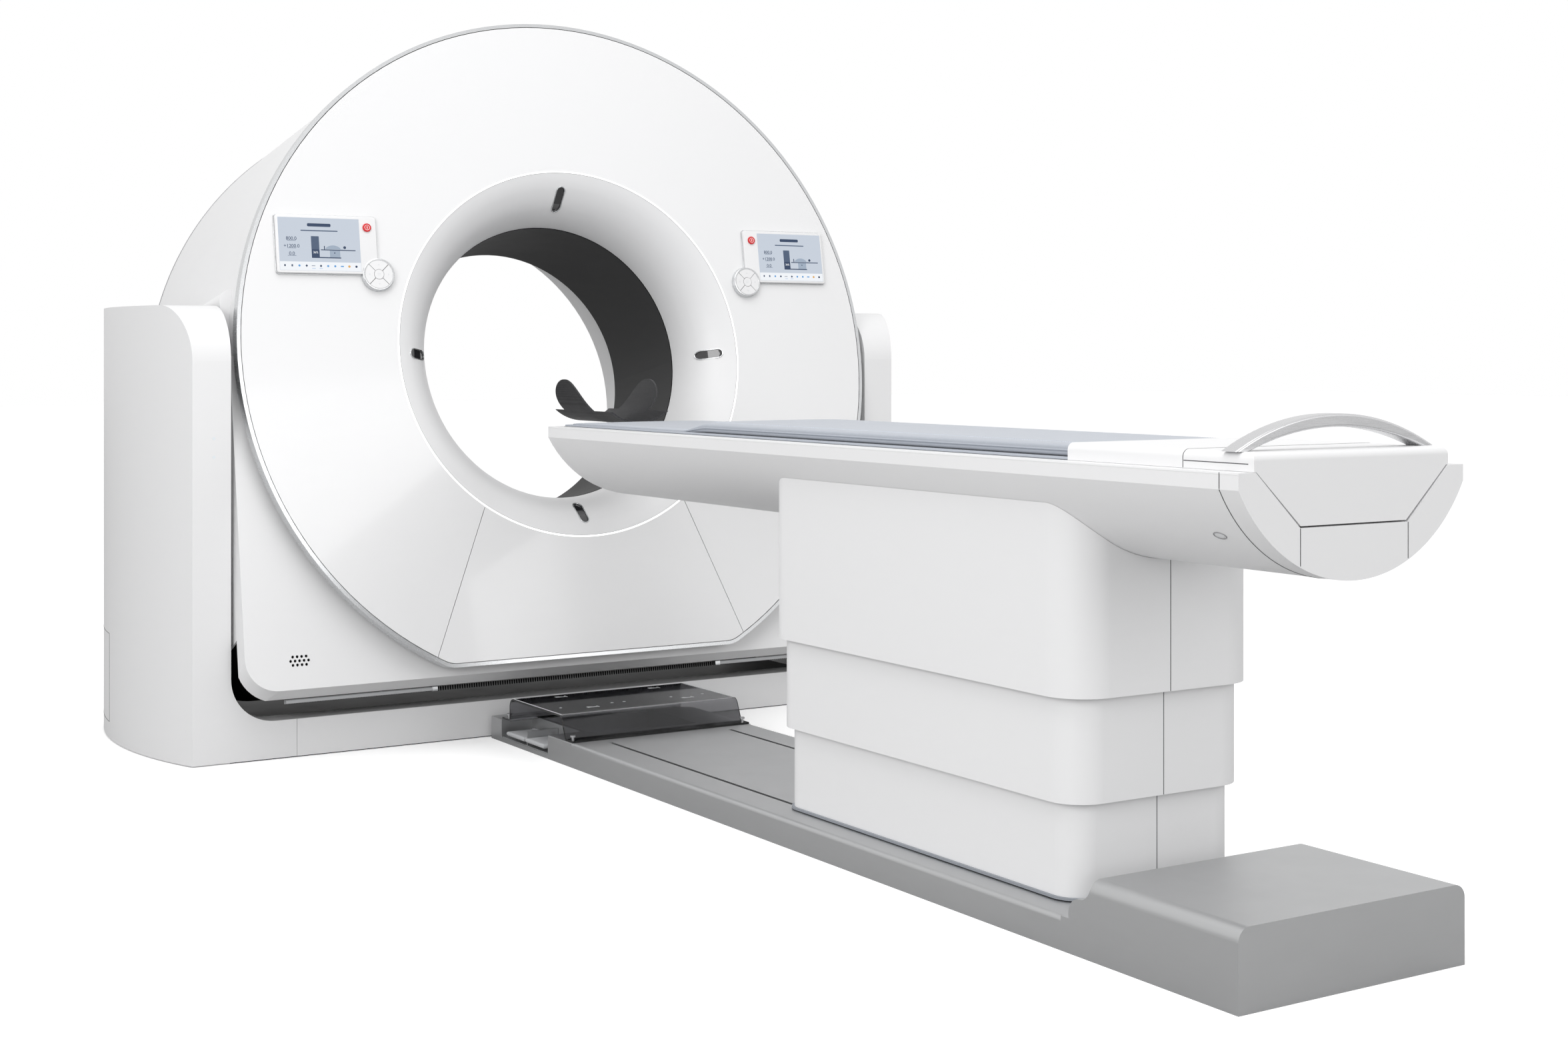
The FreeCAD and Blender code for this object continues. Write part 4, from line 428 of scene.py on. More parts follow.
def opaque(name, colour, worn, rough, spread=0.05, tone=0.3, metal=0.0, coat=0.0, coat_rough=0.1,
           grain=500.0, depth=0.00002, strength=0.3, specular=0.5, sheen=0.0, scale=2.5):
    """Painted, moulded or blasted finish: handling marks over a fine grain."""
    material, tree, shader, place = new_material(name)
    marks = use(tree, HANDLING, Vector=place, Colour=(*colour, 1), Worn_Colour=(*worn, 1), Tone=tone,
                Roughness=rough, Spread=spread, Scale=scale)
    tree.links.new(marks.outputs["Colour"], shader.inputs["Base Color"])
    tree.links.new(marks.outputs["Roughness"], shader.inputs["Roughness"])
    pebbles = use(tree, GRAIN, Vector=place, Scale=grain, Coarse=0.4)
    bump(tree, shader, pebbles.outputs["Height"], strength, depth)
    settle(shader, Metallic=metal, Coat_Weight=coat, Coat_Roughness=coat_rough,
           Specular_IOR_Level=specular, Sheen_Weight=sheen)
    return material


def brushed(name, colour, stretch, rough=0.3, spread=0.12, depth=0.00002):
    """Bare metal with hair lines along one direction."""
    material, tree, shader, place = new_material(name)
    lines = use(tree, BRUSHING, Vector=place, Stretch=stretch, Roughness=rough, Spread=spread)
    marks = use(tree, HANDLING, Vector=place, Colour=(*colour, 1),
                Worn_Colour=tuple(0.82 * part for part in colour) + (1,), Tone=0.5,
                Roughness=lines.outputs["Roughness"], Spread=0.04, Scale=3.0)
    tree.links.new(marks.outputs["Colour"], shader.inputs["Base Color"])
    tree.links.new(marks.outputs["Roughness"], shader.inputs["Roughness"])
    bump(tree, shader, lines.outputs["Height"], 0.2, depth)
    settle(shader, Metallic=1.0)
    return material


def lit(name, colour, glow, strength):
    """Diffuser or display colour that gives light, with a faint unevenness."""
    material, tree, shader, place = new_material(name)
    marks = use(tree, HANDLING, Vector=place, Colour=(*colour, 1),
                Worn_Colour=tuple(0.9 * part for part in colour) + (1,), Tone=0.5,
                Roughness=0.25, Spread=0.04, Scale=9.0)
    uneven = use(tree, HANDLING, Vector=place, Colour=(*glow, 1),
                 Worn_Colour=tuple(0.92 * part for part in glow) + (1,), Tone=0.6,
                 Roughness=0.25, Spread=0.0, Scale=5.0)
    tree.links.new(marks.outputs["Colour"], shader.inputs["Base Color"])
    tree.links.new(marks.outputs["Roughness"], shader.inputs["Roughness"])
    tree.links.new(uneven.outputs["Colour"], shader.inputs["Emission Color"])
    settle(shader, Emission_Strength=strength)
    return material


def clear(name, colour, rough, ior=1.45):
    """Tinted see-through sheet with rubbed patches."""
    material, tree, shader, place = new_material(name)
    marks = use(tree, HANDLING, Vector=place, Colour=(*colour, 1),
                Worn_Colour=tuple(0.85 * part for part in colour) + (1,), Tone=0.4,
                Roughness=rough, Spread=0.03, Scale=6.0)
    tree.links.new(marks.outputs["Colour"], shader.inputs["Base Color"])
    tree.links.new(marks.outputs["Roughness"], shader.inputs["Roughness"])
    scratches = use(tree, GRAIN, Vector=place, Scale=60.0, Coarse=0.5)
    bump(tree, shader, scratches.outputs["Height"], 0.05, 0.00005)
    settle(shader, Transmission_Weight=1.0, IOR=ior)
    return material


def woven(name, dark, light, threads, rough, coat, depth, sheen=0.0, specular=0.5):
    """Woven cloth or fibre, bare or under a clear coat."""
    material, tree, shader, place = new_material(name)
    cloth = use(tree, WEAVE, Vector=place, Threads=threads, Dark=(*dark, 1), Light=(*light, 1))
    marks = use(tree, HANDLING, Vector=place, Colour=cloth.outputs["Colour"],
                Worn_Colour=(*light, 1), Tone=0.2, Roughness=rough, Spread=0.06, Scale=5.0)
    tree.links.new(marks.outputs["Colour"], shader.inputs["Base Color"])
    tree.links.new(marks.outputs["Roughness"], shader.inputs["Roughness"])
    bump(tree, shader, cloth.outputs["Height"], 0.5, depth)
    settle(shader, Coat_Weight=coat, Coat_Roughness=0.12, Sheen_Weight=sheen,
           Specular_IOR_Level=specular)
    return material


GLOSS_WHITE = opaque("gloss_white_cover", (0.80, 0.80, 0.805), (0.75, 0.75, 0.76), 0.24, 0.03,
                     coat=0.5, coat_rough=0.07, grain=260, strength=0.04)
SATIN_WHITE = opaque("satin_white_cover", (0.79, 0.79, 0.795), (0.74, 0.74, 0.75), 0.42, 0.05,
                     coat=0.12, coat_rough=0.25, grain=900, strength=0.12)
PEDESTAL_WHITE = opaque("pedestal_white", (0.79, 0.79, 0.795), (0.74, 0.74, 0.75), 0.48, 0.05,
                        grain=1100, strength=0.16)
KEY_WHITE = opaque("key_white", (0.78, 0.78, 0.785), (0.70, 0.70, 0.71), 0.35, grain=1500,
                   strength=0.1, scale=20)
GREY_PLASTIC = opaque("grey_plastic", (0.50, 0.51, 0.52), (0.42, 0.42, 0.43), 0.45, grain=900)
BLACK_SATIN = opaque("black_satin", (0.008, 0.008, 0.009), (0.012, 0.012, 0.012), 0.75, tone=0.6,
                     spread=0.02, grain=700, strength=0.2, specular=0.04)
LINER_DARK = opaque("liner_dark", (0.034, 0.034, 0.035), (0.052, 0.052, 0.053), 0.55, tone=0.8,
                    grain=420, depth=0.00012, strength=0.5, specular=0.25)
SEAM = opaque("seam_shadow", (0.06, 0.06, 0.065), (0.1, 0.1, 0.1), 0.8, grain=900)
HAIR_GREY = opaque("hairline_grey", (0.30, 0.30, 0.31), (0.22, 0.22, 0.23), 0.5, grain=900)
RAIL_METAL = opaque("blasted_aluminium", (0.56, 0.565, 0.57), (0.47, 0.47, 0.48), 0.42, 0.06,
                    metal=1.0, grain=1600, depth=0.00004, strength=0.5)
TRIM_METAL = brushed("trim_metal", (0.70, 0.71, 0.72), (40.0, 2.0, 40.0), 0.26)
HANDLE_METAL = brushed("handle_metal", (0.74, 0.74, 0.75), (1.5, 60.0, 60.0), 0.27, 0.14)
STEEL = brushed("machined_steel", (0.55, 0.55, 0.56), (50.0, 3.0, 50.0), 0.34)
PAINTED_STEEL = opaque("painted_steel", (0.28, 0.30, 0.33), (0.2, 0.21, 0.23), 0.5, tone=0.7,
                       grain=350, depth=0.0001, strength=0.4)
DARK_PAINT = opaque("dark_paint", (0.007, 0.007, 0.008), (0.014, 0.014, 0.014), 0.55, tone=0.6,
                    grain=350, depth=0.0001, strength=0.3, specular=0.15)
LIGHT_RING = lit("light_ring", (0.8, 0.8, 0.8), (1.0, 1.0, 1.0), 0.9)
SCREEN_FACE = lit("screen_face", (0.02, 0.02, 0.02), (0.58, 0.64, 0.73), 0.92)
SCREEN_BAND = lit("screen_band", (0.02, 0.02, 0.02), (0.88, 0.91, 0.95), 0.95)
SCREEN_NAVY = lit("screen_navy", (0.01, 0.01, 0.02), (0.012, 0.045, 0.11), 0.8)
SCREEN_SLATE = lit("screen_slate", (0.01, 0.01, 0.02), (0.06, 0.10, 0.17), 0.9)
SCREEN_BLUE = lit("screen_blue", (0.01, 0.02, 0.03), (0.10, 0.34, 0.70), 0.9)
SCREEN_PALE = lit("screen_pale", (0.01, 0.01, 0.02), (0.36, 0.44, 0.54), 0.9)
SCREEN_AMBER = lit("screen_amber", (0.02, 0.01, 0.01), (0.78, 0.42, 0.10), 0.9)
STATUS_GREY = lit("status_lamp", (0.55, 0.58, 0.6), (0.75, 0.8, 0.82), 0.3)
RED_GLOSS = opaque("red_button", (0.62, 0.006, 0.012), (0.45, 0.005, 0.01), 0.35, coat=0.2,
                   grain=600, strength=0.05, scale=30)
PALE_MARK = opaque("pale_mark", (0.70, 0.71, 0.72), (0.6, 0.6, 0.6), 0.5, grain=900)
WHITE_MARK = opaque("white_mark", (0.9, 0.86, 0.86), (0.8, 0.76, 0.76), 0.4, grain=900)
DARK_GLASS = opaque("dark_glass", (0.012, 0.012, 0.014), (0.025, 0.02, 0.02), 0.08, 0.02, coat=1.0,
                    coat_rough=0.02, grain=200, strength=0.02)
SMOKED = clear("smoked_sheet", (0.30, 0.30, 0.315), 0.06)
CARBON = woven("woven_carbon", (0.006, 0.006, 0.007), (0.05, 0.05, 0.053), 260.0, 0.4, 0.12, 0.0002,
               specular=0.3)
PAD_CLOTH = woven("pad_cloth", (0.36, 0.385, 0.43), (0.43, 0.455, 0.50), 620.0, 0.62, 0.0, 0.00012,
                  sheen=0.15)
PAD_WELT = woven("pad_welt", (0.33, 0.355, 0.40), (0.42, 0.445, 0.49), 620.0, 0.6, 0.0, 0.00012)
THREAD = woven("pad_thread", (0.52, 0.55, 0.62), (0.66, 0.69, 0.75), 1500.0, 0.7, 0.0, 0.0001)

FINISHES = {
    GLOSS_WHITE: "front_cover service_cover",
    SATIN_WHITE: "front_funnel upper_shroud lower_cover rear_cover crossbar_cover left_pillar_cover "
                 "right_pillar_cover table_tub table_end_cap cradle_end_panel console_cover",
    PEDESTAL_WHITE: "pedestal_lower_cover pedestal_middle_cover pedestal_upper_cover",
    TRIM_METAL: "trim_ring",
    LIGHT_RING: "led_ring",
    DARK_GLASS: "laser_windows",
    LINER_DARK: "bore_liner",
    BLACK_SATIN: "belly_cover",
    KEY_WHITE: "control_panels left_centre_key left_up_key left_right_key left_down_key left_left_key "
               "right_centre_key right_up_key right_right_key right_down_key right_left_key",
    SCREEN_FACE: "screens",
    RED_GLOSS: "left_stop_button right_stop_button",
    CARBON: "cradle head_holder",
    PAD_CLOTH: "mattress",
    HANDLE_METAL: "carry_handle",
    RAIL_METAL: "base_rail rail_front_block rail_end_box pedal_bracket rotor_drum",
    STEEL: "carriage_guides hood_thumbscrews trunnion_bearings bearing_outer_race slip_ring",
    DARK_PAINT: "steel_base",
    PAINTED_STEEL: "tilt_frame xray_tube detector_arc high_voltage_tanks pedestal_carriage "
                   "lift_column_middle lift_column_top",
    SMOKED: "smoked_hood",
    GREY_PLASTIC: "front_pedal rear_pedal",
}
for finish, names in FINISHES.items():
    for node_name in names.split():
        node = NODES[node_name]
        node.data.materials.clear()
        node.data.materials.append(finish)


# ------------------------------------------------------------ gantry front

def control_panel(side):
    """Housing with rounded corners, its silver outline, and the key pad's boss."""
    name = SIDES[side]
    left, right = sorted((side * PANEL_INNER, side * PANEL_OUTER))
    outline = rounded_box(left, right, PANEL_LOW, PANEL_HIGH, 0.007)
    housing = slab(name + "_panel_housing", outline, 0.0, 0.0117, 0.0022, on_face, KEY_WHITE,
                   "gantry", "white_cover")
    line = on_face(rounded_box(left - 0.0016, right + 0.0016, PANEL_LOW - 0.0016,
                               PANEL_HIGH + 0.0016, 0.0085), 0.0022)
    sweep(name + "_panel_edge", line, bar_section(0.0024, 0.0036, 0.0008), TRIM_METAL, "gantry",
          "silver_trim", up=-ALONG, closed=True)
    turn = np.arange(96) * TAU / 96
    profile = polygon((0.0400, 0.0102), (0.0400, 0.0142), (0.0408, 0.0150), (0.0440, 0.0150),
                      (0.0452, 0.0142), (0.0468, 0.0060), (0.0468, 0.0002), (0.0400, 0.0002))

    def ring(section, label, material, slot):
        grid = np.stack([on_gantry(side * PAD[0] + r * np.cos(turn), -d, PAD[1] + r * np.sin(turn))
                         for r, d in section])
        surface(label, grid, material, "gantry", slot, loop=True, caps=False)
    ring(profile, name + "_pad_rim", TRIM_METAL, "silver_trim")
    ring(polygon((0.0396, 0.0102), (0.0396, 0.0144), (0.0401, 0.0149), (0.0401, 0.0102)),
         name + "_pad_liner", KEY_WHITE, "white_cover")
    slab(name + "_pad_floor", disc(side * PAD[0], PAD[1], 0.041, 64), 0.0002, 0.0080, 0.0005,
         on_face, HAIR_GREY, "gantry", "grey_plastic")
    return housing


for number, side in enumerate(SIDES):
    panel = control_panel(side)
    if number == 0:
        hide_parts("control_panels")


def key_marks(side):
    """A pale arrowhead on each sector key and two short bars on the centre key."""
    name = SIDES[side]
    cx, cy = side * PAD[0], PAD[1]
    for turn, way in enumerate(("up", "right", "down", "left")):
        along = np.array([math.sin(turn * TAU / 4), math.cos(turn * TAU / 4)])
        across = np.array([along[1], -along[0]])
        corners = [np.array([cx, cy]) + along * (0.027 + a) + across * b
                   for a, b in ((0.0028, 0.0), (-0.0016, -0.0036), (-0.0016, 0.0036))]
        tiles("%s_%s_mark" % (name, way), [polygon(*corners)], KEY_FRONT, KEY_FRONT + 0.00035, on_face,
              PALE_MARK, "%s_%s_key" % (name, way))
    bars = [rounded_box(cx - 0.005, cx + 0.005, cy + d - 0.0008, cy + d + 0.0008, 0.0006, 3)
            for d in (-0.002, 0.002)]
    tiles(name + "_centre_mark", bars, CENTRE_KEY_FRONT, CENTRE_KEY_FRONT + 0.0003, on_face,
          PALE_MARK, name + "_centre_key")
    middle = np.array([side * STOP_ACROSS, STOP_UP])
    low, high = STOP_FRONT, STOP_FRONT + 0.0003
    ring = np.concatenate([disc(*middle, 0.0074, 40), disc(*middle, 0.0064, 40)[::-1]])
    outside, inside = ring[:40], ring[40:][::-1]
    grid = np.stack([on_face(outside, low), on_face(outside, high), on_face(inside, high),
                     on_face(inside, low)])
    surface(name + "_stop_circle", grid, WHITE_MARK, name + "_stop_button", loop=True, caps=False)
    tiles(name + "_stop_bar", [rounded_box(middle[0] - 0.001, middle[0] + 0.001, middle[1] - 0.0036,
                                           middle[1] + 0.0036, 0.0008, 3)],
          low, high, on_face, WHITE_MARK, name + "_stop_button")


for side in SIDES:
    key_marks(side)


def screen_picture(side):
    """Generic display: a blank name field, three readings, a level bar, a couch drawing
    and a row of plain icons.  Positions run from the screen's lower left corner."""
    name = SIDES[side]
    x0 = min(side * SCREEN_INNER, side * SCREEN_OUTER)
    y0 = SCREEN_LOW
    low, high = 0.0121, 0.0125

    def box(left, right, bottom, top, corner=0.0008):
        return rounded_box(x0 + left, x0 + right, y0 + bottom, y0 + top, corner, 4)

    def dot(x, y, radius):
        return disc(x0 + x, y0 + y, radius, 20)

    def diamond(x, y, size):
        return polygon(*[(x0 + x + a * size, y0 + y + b * size)
                         for a, b in ((1, 0), (0, 1), (-1, 0), (0, -1))])
    tiles(name + "_screen_band", [box(0.0005, 0.2275, 0.0005, 0.0245)], 0.01205, low, on_face,
          SCREEN_BAND, "gantry")
    icons_x = np.linspace(0.014, 0.214, 11)
    navy = [box(0.081, 0.147, 0.1235, 0.1325, 0.003), box(0.090, 0.112, 0.0355, 0.060),
            box(0.116, 0.214, 0.0575, 0.0600), box(0.112, 0.172, 0.0355, 0.0385),
            box(0.125, 0.1275, 0.060, 0.070), dot(0.1835, 0.0665, 0.0040), dot(0.1545, 0.0505, 0.0018)]
    navy += [box(icons_x[0] - 0.0022, icons_x[0] + 0.0022, 0.0105, 0.0165, 0.002),
             dot(icons_x[10], 0.0135, 0.0032)]
    navy += [diamond(x, 0.0135, 0.0036) for x in icons_x[[3, 5]]]
    slate = [box(0.090, 0.112, 0.060, 0.0965), box(0.062, 0.166, 0.1105, 0.1135, 0.0014),
             box(icons_x[1] - 0.0022, icons_x[1] + 0.0022, 0.0105, 0.0165, 0.0008),
             box(icons_x[4] - 0.006, icons_x[4] + 0.004, 0.0128, 0.0142, 0.0004)]
    slate += [box(0.023, 0.047, h, h + 0.0009, 0.0004) for h in (0.0825, 0.0615, 0.0405)]
    curve = np.linspace(0, 1, 24)
    back = np.column_stack([x0 + 0.129 + 0.050 * curve,
                            y0 + 0.0615 + 0.0105 * np.sin(math.pi * np.clip(curve * 1.15, 0, 1)) ** 0.6])
    figure = np.concatenate([back, [[x0 + 0.179, y0 + 0.0608], [x0 + 0.129, y0 + 0.0608]]])[::-1]
    pale = [figure, box(0.141, 0.170, 0.0385, 0.0575, 0.0005), dot(0.101, 0.086, 0.0052)]
    blue = [dot(x, 0.0135, 0.0030) for x in icons_x[[2, 6, 7]]]
    blue += [box(x - 0.005, x + 0.005, 0.0060, 0.0068, 0.0003) for x in icons_x[[4, 5]]]
    blue += [box(icons_x[8] - 0.0045, icons_x[8] + 0.0045, 0.0118, 0.0152, 0.0015)]
    for label, shapes, material in (("navy", navy, SCREEN_NAVY), ("slate", slate, SCREEN_SLATE),
                                    ("pale", pale, SCREEN_PALE), ("blue", blue, SCREEN_BLUE),
                                    ("amber", [dot(icons_x[9], 0.0135, 0.0034)], SCREEN_AMBER)):
        lift = 0.0001 if label in ("navy", "slate") else 0.0
        tiles("%s_screen_%s" % (name, label), shapes, low, high + lift, on_face, material, "gantry")
    words = (("800.0", 0.035, 0.0885, 0.0135), ("+1200.0", 0.035, 0.0675, 0.0135),
             ("0.0", 0.035, 0.0465, 0.0135))
    lettering(name + "_screen_numbers", [(t, x0 + x, y0 + y, h) for t, x, y, h in words],
              lambda outline, extra: on_gantry(outline[:, 0], -(0.0124 + extra), outline[:, 1]),
              SCREEN_NAVY, "gantry")
    lettering(name + "_screen_level", [("36%", x0 + 0.101, y0 + 0.051, 0.0085)],
              lambda outline, extra: on_gantry(outline[:, 0], -(0.0128 + extra), outline[:, 1]),
              SCREEN_BAND, "gantry")


for side in SIDES:
    screen_picture(side)


def window_bezel(number):
    """Rim round a slot in the funnel: a round-ended path laid on the funnel's curve."""
    steps = 24
    turn = np.linspace(-TAU / 4, TAU / 4, steps)
    end, half = 0.018, 0.0135
    out = np.concatenate([end + half * np.cos(turn), -end - half * np.cos(turn)])
    aside = np.concatenate([half * np.sin(turn), -half * np.sin(turn)])
    angle = number * TAU / 4
    ux = math.sin(angle) * (0.468 + out) + math.cos(angle) * aside
    uy = math.cos(angle) * (0.468 + out) - math.sin(angle) * aside
    path = on_gantry(ux, throat_depth(np.hypot(ux, uy)) - 0.0004, uy)
    outward = on_gantry(ux * 0.9, throat_depth(np.hypot(ux, uy)) - 0.05, uy * 0.9) - path
    outward /= np.linalg.norm(outward, axis=1, keepdims=True)
    sweep("window_rim_%d" % number, path, bar_section(0.0032, 0.0044, 0.001), TRIM_METAL, "gantry",
          "silver_trim", up=outward, closed=True)


for number in range(4):
    window_bezel(number)


def ring_sweep(name, radius, depth, section, material, slot=None, steps=256, span=(0, TAU)):
    """Section carried round the bore's axis."""
    whole = span[1] - span[0] > TAU - 0.01
    turn = np.linspace(*span, steps, endpoint=not whole)
    path = on_gantry(radius * np.cos(turn), depth, radius * np.sin(turn))
    outward = on_gantry(np.cos(turn), 0, np.sin(turn)) - FACE
    return sweep(name, path, section, material, "gantry", slot, up=outward, closed=whole)


ring_sweep("rear_rim", 0.9795, 0.9525, bar_section(0.0050, 0.0036, 0.0012), HAIR_GREY, None,
           span=(0.02, math.pi - 0.02))
ring_sweep("liner_front_lip", 0.4110, 0.1815, bar_section(0.0030, 0.0050, 0.0012), BLACK_SATIN,
           "carbon")
ring_sweep("throat_shadow_line", 0.5366, 0.0004, bar_section(0.0012, 0.0006, 0.0002), HAIR_GREY)


# speaker behind the grille, bumper bars and brush strip under the lip

slab("speaker_cloth", disc(-0.8465, -0.829, 0.046, 48), -0.0665, -0.0655, 0.0003, on_face,
     BLACK_SATIN, "gantry", "black_cover")
for side in SIDES:
    name = SIDES[side]
    ends = np.linspace(side * 0.45, side * 0.87, 2)
    path = on_gantry(ends, BUMPER_DEPTH, BUMPER_UP)
    sweep(name + "_bumper_bar", path, bar_section(0.020, 0.011, 0.003), GREY_PLASTIC, "gantry",
          "grey_plastic", up=RISE)
    path = on_gantry(np.array([side * 0.442, side * 0.458]), BUMPER_DEPTH, BUMPER_UP)
    sweep(name + "_bumper_clip", path, bar_section(0.023, 0.014, 0.002), TRIM_METAL, "gantry",
          "silver_trim", up=RISE)


def brush_strip():
    """Comb of short bristles under the lip: a bar with a row of tapered teeth."""
    count = 240
    x = np.linspace(-0.86, 0.86, count)
    half, low, high = 0.0022, -0.941, -0.929
    corners = np.array([(-half, high), (half, high), (half * 0.5, low), (-half * 0.5, low)])
    points, faces = [], []
    front = np.stack([np.column_stack([c + corners[:, 0], corners[:, 1]]) for c in x])
    for depth in (0.1465, 0.1500):
        points.append(on_gantry(front[..., 0], depth, front[..., 1]).reshape(-1, 3))
    n = count * 4
    base = np.arange(count)[:, None] * 4
    quads = [base + [0, 1, 2, 3], base + n + [3, 2, 1, 0]]
    for a, b in ((0, 1), (1, 2), (2, 3), (3, 0)):
        quads.append(np.concatenate([base + a, base + b, base + n + b, base + n + a], axis=1))
    faces = np.concatenate(quads).tolist()
    new_piece("brush_strip", np.concatenate(points), faces, BLACK_SATIN, "gantry", "black_cover")


brush_strip()


# ------------------------------------------------------------ stand

def pillar_side(y, side, out=0.0):
    """Across position of a pillar's bulged side: a circle of 1.3056 m about (0.1176, 0.45)."""
    return side * (-0.1176 + np.sqrt((1.3056 + out) ** 2 - (y - 0.45) ** 2))


for side in SIDES:
    name = SIDES[side]
    y = np.concatenate([np.linspace(0.56, 0.83, 24), np.full(12, 0.83), np.linspace(0.83, 0.56, 24),
                        np.full(12, 0.56)])
    z = np.concatenate([np.full(24, 0.05), np.linspace(0.05, 0.30, 12), np.full(24, 0.30),
                        np.linspace(0.30, 0.05, 12)])
    path = np.column_stack([pillar_side(y, side), y, z])
    keep = np.linalg.norm(path - np.roll(path, 1, axis=0), axis=1) > 1e-6
    path = path[keep]
    seam(name + "_flap_seam", path, "stand", up=(side, 0, 0), width=0.0014, closed=True)

lamps = [rounded_box(-1.0555, -1.0475, z - 0.004, z + 0.004, 0.0038, 6) for z in (0.869, 0.8196)]
tiles("status_lamps", lamps, -0.0006, 0.0008, on_end, STATUS_GREY, "stand")


# ------------------------------------------------------------ pedestal

for name, body, front, rear, low, high in (
        ("upper", "table", -1.500, -2.629, 0.4515, 0.7045),
        ("middle", "lift_stage", -1.520, -2.609, 0.2505, 0.5195),
        ("lower", "carriage", -1.540, -2.589, 0.0715, 0.3375)):
    for end, y, way in (("front", front, 1), ("rear", rear, -1)):
        seam("%s_%s_seam" % (name, end), [(0, y, low), (0, y, high)], body, up=(0, way, 0))


# ------------------------------------------------------------ table top

def tub_line(y, out=0.0003, steps=40):
    """Line across the tub's round underside, from lip to lip."""
    reach = math.asin(LIP_HALF / TUB_RADIUS)
    turn = np.linspace(-reach, reach, steps)
    radius = TUB_RADIUS + out
    return np.column_stack([radius * np.sin(turn), np.full(steps, y),
                            TUB_CENTRE_Z - radius * np.cos(turn)])


path = tub_line(CAP_JOINT)
outward = np.column_stack([path[:, 0], np.zeros(len(path)), path[:, 2] - TUB_CENTRE_Z])
seam("end_cap_seam", path, "table", up=outward)
for side in SIDES:
    name = SIDES[side]
    seam(name + "_lip_seam", [(side * 0.2712, CAP_JOINT, z) for z in (0.870, 0.8975)],
         "table", up=(side, 0, 0))
    seam(name + "_cap_seam", [(side * CAP_SEAM, TUB_END, z) for z in (0.7365, 0.8005)],
         "table", up=(0, -1, 0))


def lip_bead(side):
    """Rounded bead along the tub's lip: a quarter circle swept from tip to end cap."""
    path = [(side * 0.2685, -3.108, 0.8955), (side * 0.2685, -0.402, 0.8955)]
    return sweep(SIDES[side] + "_lip_bead", path,
                 bar_section(0.0056, 0.0056, 0.0024), SATIN_WHITE, "table", "white_cover")


for side in SIDES:
    lip_bead(side)


def underside_button():
    """Oval press plate set in a dished rim on the tub's underside."""
    angle = math.asin(-0.2050 / TUB_RADIUS)
    outward = np.array([math.sin(angle), 0, -math.cos(angle)])
    across = np.array([math.cos(angle), 0, math.sin(angle)])
    middle = np.array([0, -2.993, TUB_CENTRE_Z]) + outward * TUB_RADIUS

    def place(outline, stand):
        return (middle + outline[:, :1] * np.array([0, 1.0, 0]) + outline[:, 1:] * across
                + outward * stand)
    turn = np.arange(48) * TAU / 48
    oval = np.column_stack([0.0150 * np.cos(turn), 0.0085 * np.sin(turn)])
    slab("underside_button", oval * 0.78, -0.003, 0.0006, 0.0006, place, PALE_MARK, "table")
    sweep("underside_button_rim", place(oval, 0.0002), bar_section(0.0018, 0.0018, 0.0006),
          HAIR_GREY, "table", up=outward, closed=True)


underside_button()


def console_lines():
    """Step line over the console and along its sides, and its bottom shadow line."""
    half, top = CONSOLE_HALF, CONSOLE_TOP
    turn = np.linspace(0, TAU / 4, 8)
    corner = 0.014
    right = np.column_stack([half - corner + corner * np.sin(turn), top - corner + corner * np.cos(turn)])
    arch = np.concatenate([right[::-1], np.array([[-1, 1]]) * right])
    arch = np.concatenate([[[half, CRADLE_TOP + 0.001]], arch, [[-half, CRADLE_TOP + 0.001]]])
    path = np.column_stack([arch[:, 0], np.full(len(arch), CONSOLE_STEP), arch[:, 1]])
    outward = np.column_stack([arch[:, 0] * 0.2, np.zeros(len(arch)), arch[:, 1] - 0.86])
    seam("console_step_line", path, "cradle", up=outward)
    for side in SIDES:
        name = SIDES[side]
        seam(name + "_console_band", [(side * half, -3.094, 0.9115), (side * half, -2.932, 0.9115)],
             "cradle", up=(side, 0, 0))


console_lines()


# ------------------------------------------------------------ mattress

PAD_HALF = 0.2035
PAD_START, PAD_FINISH = -0.4135, -2.6055


def pad_height(y):
    """Thickness along the pad: 8 mm at the head, 31 mm past a smooth ramp."""
    rise = np.clip((-1.03 - y) / 0.14, 0, 1)
    return 0.0078 + 0.0232 * rise * rise * (3 - 2 * rise)


